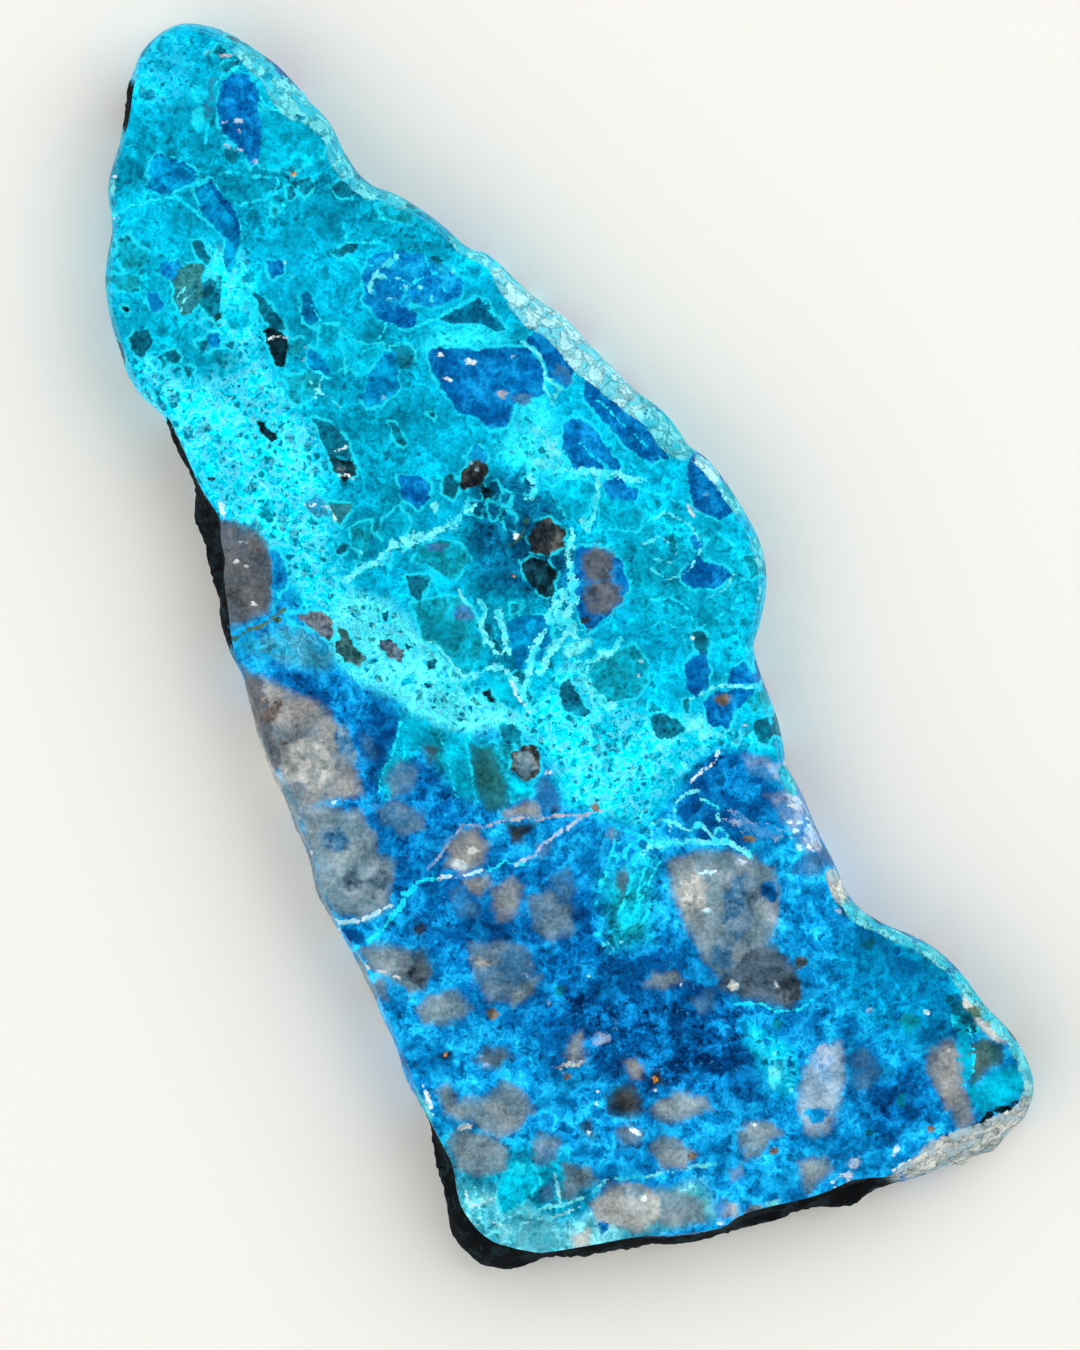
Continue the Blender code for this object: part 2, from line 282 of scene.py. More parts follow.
def slab_mesh():
    """The slab as one closed body, with what its corners and faces need for the pattern.

    The polished face is fine, the wall is rings of the same stops, and the sawn back is coarser.
    """
    stops = stops_round_the_rim()
    places = [place for place, _, _ in stops]
    columns = []
    sources = []
    for i, (place, reach, ledge) in enumerate(stops):
        along = places[(i + AIM_STOPS) % STOPS] - places[i - AIM_STOPS]
        away = Vector((-along.y, along.x)).normalized()
        hidden = away.dot(place - from_photo(*EYE_PLACE)) * (THICKNESS - BELLY_HEIGHT) / EYE_HEIGHT
        column = [(place.x, place.y, THICKNESS)]
        source = [tuple(place)]
        for out, height in wall_profile(reach + max(0.0, hidden), ledge):
            there = place + away * (out + proud(place, height, ledge))
            column.append((there.x, there.y, height))
            source.append(tuple(place - away * PATTERN_LEAN * (THICKNESS - height)))
        columns.append(column)
        sources.append(source)
    levels = len(columns[0])
    corners = [columns[i][level] for level in range(levels) for i in range(STOPS)]
    sources = [sources[i][level] for level in range(levels) for i in range(STOPS)]
    ledges = [stops[i][2] for level in range(levels) for i in range(STOPS)]
    faces = []
    for level in range(levels - 1):
        for i in range(STOPS):
            j = (i + 1) % STOPS
            upper, lower = level * STOPS, (level + 1) * STOPS
            faces.append((upper + i, upper + j, lower + j))
            faces.append((upper + i, lower + j, lower + i))
    finish = [1] * len(faces)
    from_edge = [0.0] * len(corners)
    for ring_level, pitch, upward in ((0, FACE_PITCH, True), (levels - 1, BACK_PITCH, False)):
        first = ring_level * STOPS
        outline = [corner[:2] for corner in corners[first:first + STOPS]]
        height = corners[first][2]
        inner, triangles, depths = flat_face(outline, pitch, height, first, upward)
        base = len(corners)
        corners += inner
        across, down = (0.0, 0.0) if upward else BACK_SHIFT
        sources += [(x + across, y - down) for x, y, _ in inner]
        ledges += [0.0] * len(inner)
        from_edge += depths
        faces += [[n if on_ring else base + n for on_ring, n in face] for face in triangles]
        finish += [0 if upward else 2] * len(triangles)
    return np.array(corners), faces, finish, np.array(sources), np.array(ledges), np.array(from_edge)


corners, faces, face_finish, pattern_places, ledges, from_edge = slab_mesh()
low, high = (np.array(corner) / MM for corner in cad_box)
corners = np.clip(corners, low, high)
mesh = bpy.data.meshes.new("polished_slab")
mesh.from_pydata([tuple(corner * MM) for corner in corners], [], faces)
mesh.shade_smooth()
mesh.set_sharp_from_angle(angle=math.radians(50))
slab = bpy.data.objects.new("polished_slab", mesh)
bpy.context.scene.collection.objects.link(slab)
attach(slab, "root")
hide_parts("gem_silica_slab")


# The stone's pattern. The real colours are copper silica that seeped between broken pieces of older rock:
# cyan froth and teal in the upper part, azure below, with dark and blue clasts above and grey ones below.
# Each area, clast, vein and spot is laid one by one and kept on the mesh as its depth and its colour.

# Places in this section are across and down the photograph in tenths of a millimetre.
TENTH = 0.1
# Each kind of stone in it has a main colour, and a second one that it is patched with, as a screen's
# values from 0 to 255.
COLOURS = {
    "azure": ((2, 124, 192), (12, 156, 218)),
    "deep azure": ((0, 88, 156), (3, 118, 184)),
    "night blue": ((0, 72, 134), (2, 104, 172)),
    "blue": ((1, 118, 186), (8, 150, 206)),
    "cyan": ((0, 178, 216), (0, 156, 196)),
    "froth": ((0, 210, 242), (0, 172, 212)),
    "white froth": ((72, 232, 244), (2, 172, 208)),
    "bright cyan": ((30, 228, 250), (8, 205, 240)),
    "pale cyan": ((116, 242, 250), (50, 220, 240)),
    "teal": ((0, 152, 186), (0, 176, 208)),
    "dusk blue": ((0, 74, 112), (1, 102, 142)),
    "deep teal": ((0, 130, 164), (0, 156, 190)),
    "dark teal": ((4, 84, 108), (2, 112, 138)),
    "green teal": ((6, 132, 152), (2, 156, 184)),
    "turquoise": ((52, 165, 188), (100, 190, 204)),
    "grey": ((100, 134, 150), (138, 158, 166)),
    "stained grey": ((56, 112, 152), (104, 136, 158)),
    "blue grey": ((66, 120, 160), (30, 116, 178)),
    "slate": ((58, 84, 102), (92, 114, 130)),
    "charcoal": ((46, 60, 70), (72, 88, 98)),
    "ink": ((1, 92, 130), (1, 122, 160)),
    "dark olive": ((34, 80, 84), (66, 98, 98)),
    "moss": ((94, 118, 84), (50, 112, 112)),
    "taupe": ((92, 102, 112), (62, 76, 90)),
    "steel teal": ((44, 128, 158), (22, 142, 182)),
    "crust": ((136, 214, 224), (34, 182, 208)),
    "dusk azure": ((0, 106, 160), (0, 138, 190)),
    "umber grey": ((104, 108, 112), (78, 92, 104)),
    "sage": ((38, 114, 120), (20, 98, 114)),
    "pale grey": ((158, 186, 204), (98, 146, 184)),
    "black": ((3, 26, 34), (8, 50, 64)),
    # Near-black for the broken ledges and the crevices along the rim beside them: partly dark rock, partly
    # painted shade.
    "shaded dark rock": ((2, 6, 9), (16, 32, 38)),
    "brown black": ((24, 34, 40), (58, 62, 62)),
    "warm grey": ((116, 132, 142), (150, 152, 150)),
    "beige": ((158, 168, 168), (182, 184, 180)),
    "lilac": ((146, 172, 208), (56, 138, 200)),
    "pale lilac": ((188, 208, 230), (118, 170, 216)),
    "brown": ((92, 84, 78), (122, 114, 108)),
    "olive": ((40, 88, 74), (80, 122, 90)),
    "cream": ((208, 214, 208), (148, 174, 184)),
    "pink": ((182, 182, 192), (150, 160, 174)),
    "white": ((224, 242, 247), (156, 214, 230)),
    "aqua": ((112, 224, 236), (36, 186, 214)),
    "crystal blue": ((72, 168, 236), (30, 140, 220)),
    "pale aqua": ((176, 238, 246), (88, 210, 232)),
    "gold": ((216, 150, 58), (120, 90, 50)),
}

# Areas of the ground between the clasts: colour, how softly the edge fades, froth (0 to 1), pale specks
# (0 to 1) and outline. Later areas lie over earlier ones.
AREAS = [
    ("azure", 20, 0.0, 0.3, [(0, 0), (1080, 0), (1080, 1350), (0, 1350)]),
    ("deep azure", 30, 0.0, 0.3, [(250, 640), (330, 670), (400, 700), (460, 760), (470, 860), (560, 860),
        (700, 960), (800, 1020), (700, 1130), (560, 1060), (470, 1010), (380, 900)]),
    ("cyan", 7, 0.12, 0.0, [(0, 0), (500, 0), (900, 300), (900, 700), (790, 762), (760, 755), (720, 745),
        (690, 770), (675, 790), (640, 825), (600, 810), (565, 800), (560, 770), (530, 745), (500, 725),
        (470, 730), (430, 735), (405, 705), (365, 682), (330, 660), (335, 625), (300, 605), (275, 555),
        (225, 510), (80, 450)]),
    ("cyan", 16, 0.5, 0.1, [(122, 40), (160, 25), (200, 35), (205, 80), (190, 118), (150, 115), (118, 85)]),
    ("deep teal", 25, 0.15, 0.1, [(210, 20), (240, 40), (330, 130), (350, 190), (300, 230), (240, 240),
        (180, 200), (110, 210), (115, 120), (190, 130)]),
    ("deep teal", 16, 0.15, 0.0, [(330, 170), (400, 195), (470, 250), (420, 260), (370, 240), (330, 230)]),
    ("teal", 20, 0.2, 0.0, [(105, 230), (230, 240), (260, 300), (240, 370), (180, 385), (115, 330)]),
    ("deep teal", 20, 0.1, 0.0, [(290, 330), (400, 320), (425, 370), (415, 450), (420, 560), (350, 570),
        (300, 440)]),
    ("froth", 22, 1.0, 0.0, [(130, 350), (200, 380), (255, 350), (290, 400), (320, 430), (330, 520),
        (350, 600), (320, 620), (280, 570), (225, 515), (180, 450)]),
    ("froth", 14, 0.9, 0.0, [(205, 240), (245, 250), (262, 330), (255, 370), (225, 340), (190, 320),
        (205, 300)]),
    ("white froth", 9, 1.0, 0.0, [(325, 620), (350, 590), (385, 600), (410, 620), (440, 650), (470, 690),
        (520, 705), (540, 740), (500, 728), (470, 733), (430, 735), (405, 705), (365, 682), (332, 655)]),
    ("froth", 12, 0.9, 0.0, [(530, 690), (570, 640), (620, 700), (690, 700), (740, 725), (775, 745),
        (720, 748), (690, 772), (640, 828), (600, 812), (565, 800), (545, 760), (520, 720)]),
    ("dusk blue", 16, 0.1, 0.2, [(470, 480), (520, 470), (560, 500), (580, 560), (570, 600), (520, 620),
        (480, 600), (465, 540)]),
    ("deep teal", 12, 0.1, 0.1, [(480, 590), (550, 600), (560, 660), (540, 700), (500, 690), (470, 640)]),
    ("teal", 16, 0.35, 0.0, [(640, 490), (700, 510), (760, 560), (755, 650), (700, 640), (640, 620),
        (620, 560)]),
    ("cyan", 8, 0.1, 0.0, [(645, 695), (640, 655), (675, 640), (690, 690), (700, 715), (660, 710)]),
    ("bright cyan", 12, 0.5, 0.0, [(415, 352), (440, 328), (480, 325), (520, 342), (480, 350), (430, 352)]),
    ("bright cyan", 16, 0.6, 0.0, [(515, 410), (545, 400), (565, 440), (600, 475), (560, 480), (530, 475),
        (500, 450)]),
    ("blue", 10, 0.0, 0.3, [(682, 782), (715, 748), (745, 752), (785, 790), (812, 850), (760, 860),
        (710, 845)]),
    ("deep azure", 3, 0.0, 0.2, [(684, 792), (694, 772), (716, 750), (738, 756), (756, 772), (778, 794),
        (782, 814), (768, 838), (740, 848), (700, 843), (680, 815)]),
    ("green teal", 16, 0.0, 0.3, [(600, 880), (655, 860), (650, 940), (610, 950)]),
    ("steel teal", 8, 0.0, 0.0, [(240, 640), (300, 622), (338, 655), (325, 672), (280, 664), (238, 650)]),
    ("green teal", 12, 0.0, 0.2, [(400, 710), (440, 735), (520, 740), (510, 800), (470, 800), (430, 760)]),
    ("blue", 20, 0.0, 0.2, [(850, 900), (960, 960), (1040, 1060), (1000, 1100), (900, 1120), (840, 1050)]),
    ("teal", 10, 0.2, 0.3, [(866, 905), (900, 925), (950, 948), (992, 992), (1012, 1040), (985, 1032),
        (955, 1000), (920, 975), (880, 950)]),
    ("deep teal", 20, 0.0, 0.3, [(430, 1130), (560, 1150), (600, 1200), (560, 1260), (440, 1260)]),
    ("teal", 5, 0.1, 0.0, [(385, 800), (379, 775), (394, 745), (405, 714), (426, 722), (440, 735),
        (425, 745), (408, 765), (398, 785)]),
    ("teal", 5, 0.1, 0.0, [(438, 728), (470, 735), (484, 765), (476, 802), (458, 792), (450, 765)]),
    ("dusk azure", 18, 0.0, 0.0, [(835, 935), (870, 925), (915, 945), (960, 985), (972, 1030), (945, 1050),
        (890, 1040), (850, 1010), (830, 970)]),
    ("turquoise", 8, 0.1, 0.1, [(455, 1180), (500, 1190), (560, 1225), (700, 1180), (720, 1215),
        (560, 1260), (470, 1250)]),
    ("cyan", 8, 0.5, 0.2, [(736, 1022), (750, 1018), (762, 1030), (780, 1042), (792, 1052), (798, 1065),
        (796, 1085), (790, 1096), (772, 1090), (765, 1072), (750, 1055), (742, 1040)]),
    ("night blue", 14, 0.0, 0.5, [(560, 980), (640, 1000), (740, 1010), (760, 1100), (640, 1080),
        (580, 1050)]),
    ("night blue", 16, 0.0, 0.2, [(850, 1090), (920, 1060), (930, 1120), (880, 1150)]),
]

# Clasts in the upper part: crisp, and mostly edged with a bright line. Colour, then outlines.
CRISP_CLASTS = {
    "deep azure": [
        [(574, 548), (600, 546), (622, 560), (629, 582), (624, 600), (605, 620), (588, 632), (577, 610),
         (572, 580)],
        [(222, 82), (236, 73), (250, 74), (259, 92), (262, 118), (265, 138), (260, 160), (250, 168),
         (243, 150), (228, 140), (219, 126), (217, 106)],
        [(425, 352), (440, 347), (470, 350), (500, 346), (530, 350), (543, 368), (545, 395), (515, 405),
         (508, 427), (490, 428), (470, 415), (458, 413), (443, 390), (430, 365)],
        [(525, 342), (540, 325), (555, 335), (570, 350), (578, 367), (565, 387), (550, 380), (545, 360),
         (538, 350)],
        [(583, 382), (595, 374), (612, 392), (640, 418), (658, 434), (670, 458), (650, 462), (628, 450),
         (602, 420), (584, 398)],
        [(563, 425), (572, 418), (590, 424), (612, 455), (625, 470), (600, 474), (572, 470), (562, 450)],
        [(688, 462), (700, 458), (722, 485), (736, 513), (718, 519), (696, 510), (690, 492)],
        [(690, 538), (697, 533), (706, 543), (700, 552), (692, 550)],
        [(678, 575), (698, 557), (728, 570), (735, 575), (712, 590), (690, 588)],
        [(695, 655), (705, 655), (710, 675), (707, 692), (697, 698), (686, 688), (684, 665)],
        [(723, 681), (732, 670), (744, 662), (758, 675), (760, 681), (738, 685)],
        [(703, 705), (714, 690), (735, 690), (757, 687), (750, 700), (736, 712), (728, 730), (708, 724)],
        [(398, 475), (418, 475), (430, 485), (430, 498), (418, 508), (402, 500)],
        [(372, 304), (400, 303), (418, 312), (414, 328), (400, 328), (380, 320)],
        [(268, 262), (282, 262), (285, 273), (276, 279), (268, 275)],
        [(600, 482), (620, 478), (640, 490), (636, 500), (610, 500)],
    ],
    "blue": [
        [(361, 278), (366, 262), (378, 253), (395, 249), (425, 256), (452, 268), (463, 283), (460, 297),
         (432, 308), (412, 303), (392, 314), (378, 320), (364, 300)],
        [(162, 262), (180, 261), (182, 268), (172, 280), (162, 275)],
        [(146, 292), (158, 293), (166, 308), (155, 312), (146, 304)],
        [(206, 336), (220, 335), (222, 347), (210, 350)],
        [(466, 458), (474, 446), (486, 450), (490, 460), (476, 464)],
        [(455, 622), (482, 628), (480, 645), (462, 640)],
        [(264, 552), (276, 547), (288, 570), (284, 588), (272, 608), (267, 590)],
        [(284, 612), (298, 615), (306, 626), (294, 626)],
    ],
    "teal": [
        [(260, 76), (269, 76), (277, 103), (270, 109), (262, 106), (259, 92)],
        [(258, 112), (290, 118), (325, 130), (330, 142), (318, 162), (285, 168), (262, 170), (259, 140)],
        [(112, 200), (119, 189), (132, 181), (146, 192), (140, 204), (126, 210), (113, 211)],
        [(225, 308), (240, 307), (251, 316), (250, 326), (238, 333), (226, 325)],
        [(320, 325), (341, 326), (346, 365), (330, 376), (316, 350)],
        [(560, 483), (578, 478), (597, 487), (590, 505), (582, 525), (566, 516), (555, 495)],
        [(598, 495), (630, 500), (642, 512), (638, 530), (600, 528)],
        [(490, 682), (505, 675), (524, 700), (522, 715), (500, 700)],
        [(461, 685), (468, 682), (472, 690), (466, 696)],
        [(398, 680), (412, 677), (414, 686), (402, 688)],
        [(340, 326), (356, 342), (383, 344), (382, 355), (362, 378), (348, 365)],
        [(508, 775), (535, 783), (532, 796), (512, 800)],
        [(497, 1196), (505, 1172), (532, 1165), (541, 1184), (521, 1205), (501, 1213)],
    ],
    "green teal": [
        [(410, 605), (440, 597), (462, 597), (478, 620), (484, 645), (472, 668), (463, 678), (440, 655),
         (420, 630)],
        [(582, 668), (598, 655), (618, 652), (632, 645), (648, 662), (648, 682), (632, 700), (608, 701),
         (588, 684)],
        [(114, 255), (120, 243), (134, 241), (148, 252), (142, 266), (122, 267)],
        [(108, 276), (125, 272), (138, 277), (138, 290), (118, 291)],
        [(290, 338), (302, 338), (300, 355), (289, 355)],
        [(284, 375), (305, 372), (322, 378), (310, 398), (298, 406), (289, 392)],
        [(350, 530), (360, 522), (370, 520), (372, 537), (362, 556), (353, 545)],
        [(413, 560), (418, 548), (440, 540), (463, 545), (470, 560), (455, 582), (438, 570)],
        [(745, 556), (758, 553), (760, 575), (748, 578)],
        [(745, 697), (765, 690), (768, 708), (752, 712)],
        [(376, 205), (395, 202), (412, 212), (414, 224), (395, 222), (382, 216)],
    ],
    "deep teal": [
        [(382, 517), (400, 509), (414, 522), (402, 538), (388, 548), (379, 532)],
    ],
    "dark teal": [
        [(950, 1004), (966, 999), (980, 1014), (976, 1031), (958, 1030)],
        [(212, 54), (220, 45), (229, 55), (220, 61)],
        [(222, 63), (240, 60), (232, 70), (218, 76)],
        [(116, 240), (128, 234), (134, 240), (118, 242)],
        [(202, 284), (211, 276), (221, 290), (220, 312), (208, 318), (200, 304)],
        [(332, 252), (350, 241), (362, 244), (352, 254), (340, 258)],
        [(441, 494), (443, 478), (452, 474), (460, 482), (452, 500)],
        [(754, 720), (768, 719), (777, 731), (766, 744), (755, 735)],
        [(192, 243), (202, 241), (213, 260), (205, 266), (196, 256)],
        [(228, 246), (236, 241), (238, 255), (228, 270), (222, 266)],
        [(127, 340), (134, 331), (147, 331), (154, 344), (142, 361), (133, 352)],
        [(165, 352), (175, 349), (182, 357), (176, 366), (167, 360)],
        [(158, 358), (163, 356), (167, 366), (162, 369)],
        [(184, 368), (193, 366), (191, 380), (184, 376)],
        [(196, 341), (206, 340), (208, 350), (200, 352)],
        [(225, 343), (236, 340), (231, 351)],
        [(253, 291), (262, 296), (276, 312), (287, 330), (276, 333), (262, 318)],
        [(330, 185), (345, 180), (357, 190), (350, 198), (337, 196)],
        [(424, 262), (435, 256), (445, 260), (438, 267), (428, 266)],
        [(390, 346), (412, 345), (414, 360), (404, 368), (396, 358)],
        [(315, 419), (330, 423), (344, 435), (351, 452), (352, 458), (330, 457), (322, 442)],
        [(388, 424), (394, 422), (408, 443), (404, 447), (394, 438)],
        [(428, 415), (434, 411), (437, 416), (433, 420)],
        [(336, 547), (342, 542), (350, 545), (343, 555), (336, 552)],
        [(355, 562), (365, 562), (361, 571)],
        [(407, 575), (420, 573), (432, 580), (420, 604), (411, 596)],
        [(511, 604), (520, 602), (522, 613), (512, 614)],
        [(482, 620), (492, 628), (506, 660), (498, 654), (488, 640)],
        [(509, 676), (520, 670), (530, 678), (533, 702), (522, 702), (513, 688)],
        [(560, 685), (568, 680), (583, 700), (592, 712), (580, 716), (562, 709)],
        [(649, 718), (660, 712), (676, 716), (684, 730), (672, 739), (655, 735)],
        [(690, 632), (700, 630), (712, 640), (708, 655), (697, 653)],
        [(682, 700), (688, 700), (688, 713), (684, 713)],
        [(500, 725), (512, 722), (520, 732), (518, 744), (504, 743)],
        [(440, 681), (450, 684), (455, 689), (446, 688)],
        [(380, 612), (388, 610), (388, 622), (381, 622)],
        [(400, 640), (414, 647), (408, 652)],
        [(424, 685), (434, 684), (432, 691)],
        [(425, 660), (436, 659), (437, 669), (428, 669)],
        [(297, 182), (310, 177), (314, 188), (304, 198)],
        [(284, 187), (292, 186), (295, 196), (288, 203)],
        [(281, 171), (290, 166), (298, 171), (292, 178)],
        [(270, 203), (281, 211), (275, 216)],
        [(157, 254), (163, 255), (161, 264)],
        [(632, 657), (647, 660), (648, 678), (637, 676)],
    ],
    "dark olive": [
        [(336, 640), (345, 636), (354, 645), (366, 661), (360, 668), (347, 662), (338, 652)],
        [(338, 628), (347, 631), (353, 642), (342, 640)],
    ],
    "taupe": [
        [(298, 613), (318, 610), (331, 618), (336, 634), (330, 642), (318, 634), (306, 624)],
    ],
    "slate": [
        [(378, 642), (388, 639), (403, 650), (402, 664), (386, 657)],
    ],
    "dusk azure": [
        [(358, 395), (372, 372), (383, 352), (396, 350), (400, 388), (385, 402), (366, 408)],
        [(507, 622), (522, 615), (548, 616), (553, 632), (541, 660), (520, 669), (508, 655)],
        [(148, 165), (158, 153), (172, 158), (190, 165), (198, 176), (190, 185), (178, 191), (160, 195),
         (148, 187)],
        [(194, 188), (210, 179), (222, 196), (234, 214), (240, 238), (237, 262), (230, 276), (222, 262),
         (227, 240), (214, 226), (200, 212)],
        [(300, 297), (308, 291), (320, 315), (313, 328), (303, 322)],
        [(306, 346), (318, 350), (331, 372), (318, 379), (307, 368)],
    ],
    "sage": [
        [(174, 282), (178, 268), (188, 262), (203, 268), (202, 302), (192, 314), (180, 318), (174, 300)],
        [(328, 502), (352, 502), (341, 527), (332, 516)],
    ],
    "dusk blue": [
        [(486, 484), (496, 482), (500, 492), (490, 498)],
        [(499, 494), (508, 492), (511, 503), (501, 508)],
        [(489, 502), (498, 505), (502, 517), (490, 520)],
        [(505, 512), (516, 516), (514, 530), (504, 526)],
        [(470, 500), (482, 503), (480, 516), (468, 512)],
        [(524, 480), (534, 478), (536, 492), (526, 494)],
    ],
    "ink": [
        [(440, 318), (474, 297), (485, 300), (505, 328), (496, 332), (475, 322), (452, 324)],
    ],
    "black": [
        [(492, 310), (503, 328), (498, 330), (489, 314)],
        [(264, 330), (271, 326), (286, 335), (288, 350), (284, 369), (276, 366), (267, 345)],
        [(330, 457), (353, 459), (356, 474), (343, 480), (332, 468)],
        [(521, 563), (533, 557), (546, 561), (557, 576), (552, 597), (542, 597), (528, 582)],
        [(482, 692), (490, 690), (502, 702), (490, 700)],
        [(208, 317), (218, 312), (224, 314), (217, 322)],
        [(258, 421), (265, 424), (277, 440), (272, 444), (264, 438)],
        [(120, 305), (128, 306), (127, 315)],
        [(236, 503), (242, 510), (237, 511)],
        [(208, 477), (218, 475), (215, 483)],
        [(268, 531), (276, 526), (275, 532)],
        [(480, 487), (493, 486), (493, 498), (484, 499)],
        [(503, 492), (513, 494), (509, 502)],
    ],
    "brown black": [
        [(465, 470), (470, 460), (482, 459), (489, 469), (482, 483), (468, 491), (459, 491)],
        [(527, 538), (536, 522), (548, 517), (563, 528), (564, 546), (548, 556), (532, 552)],
        [(510, 756), (522, 744), (534, 743), (541, 755), (538, 778), (524, 782), (512, 770)],
        [(580, 606), (598, 610), (604, 618), (590, 631), (581, 622)],
    ],
    "steel teal": [
        [(306, 500), (318, 492), (326, 502), (330, 518), (315, 517), (308, 508)],
        [(384, 556), (393, 546), (389, 565), (382, 562)],
    ],
}

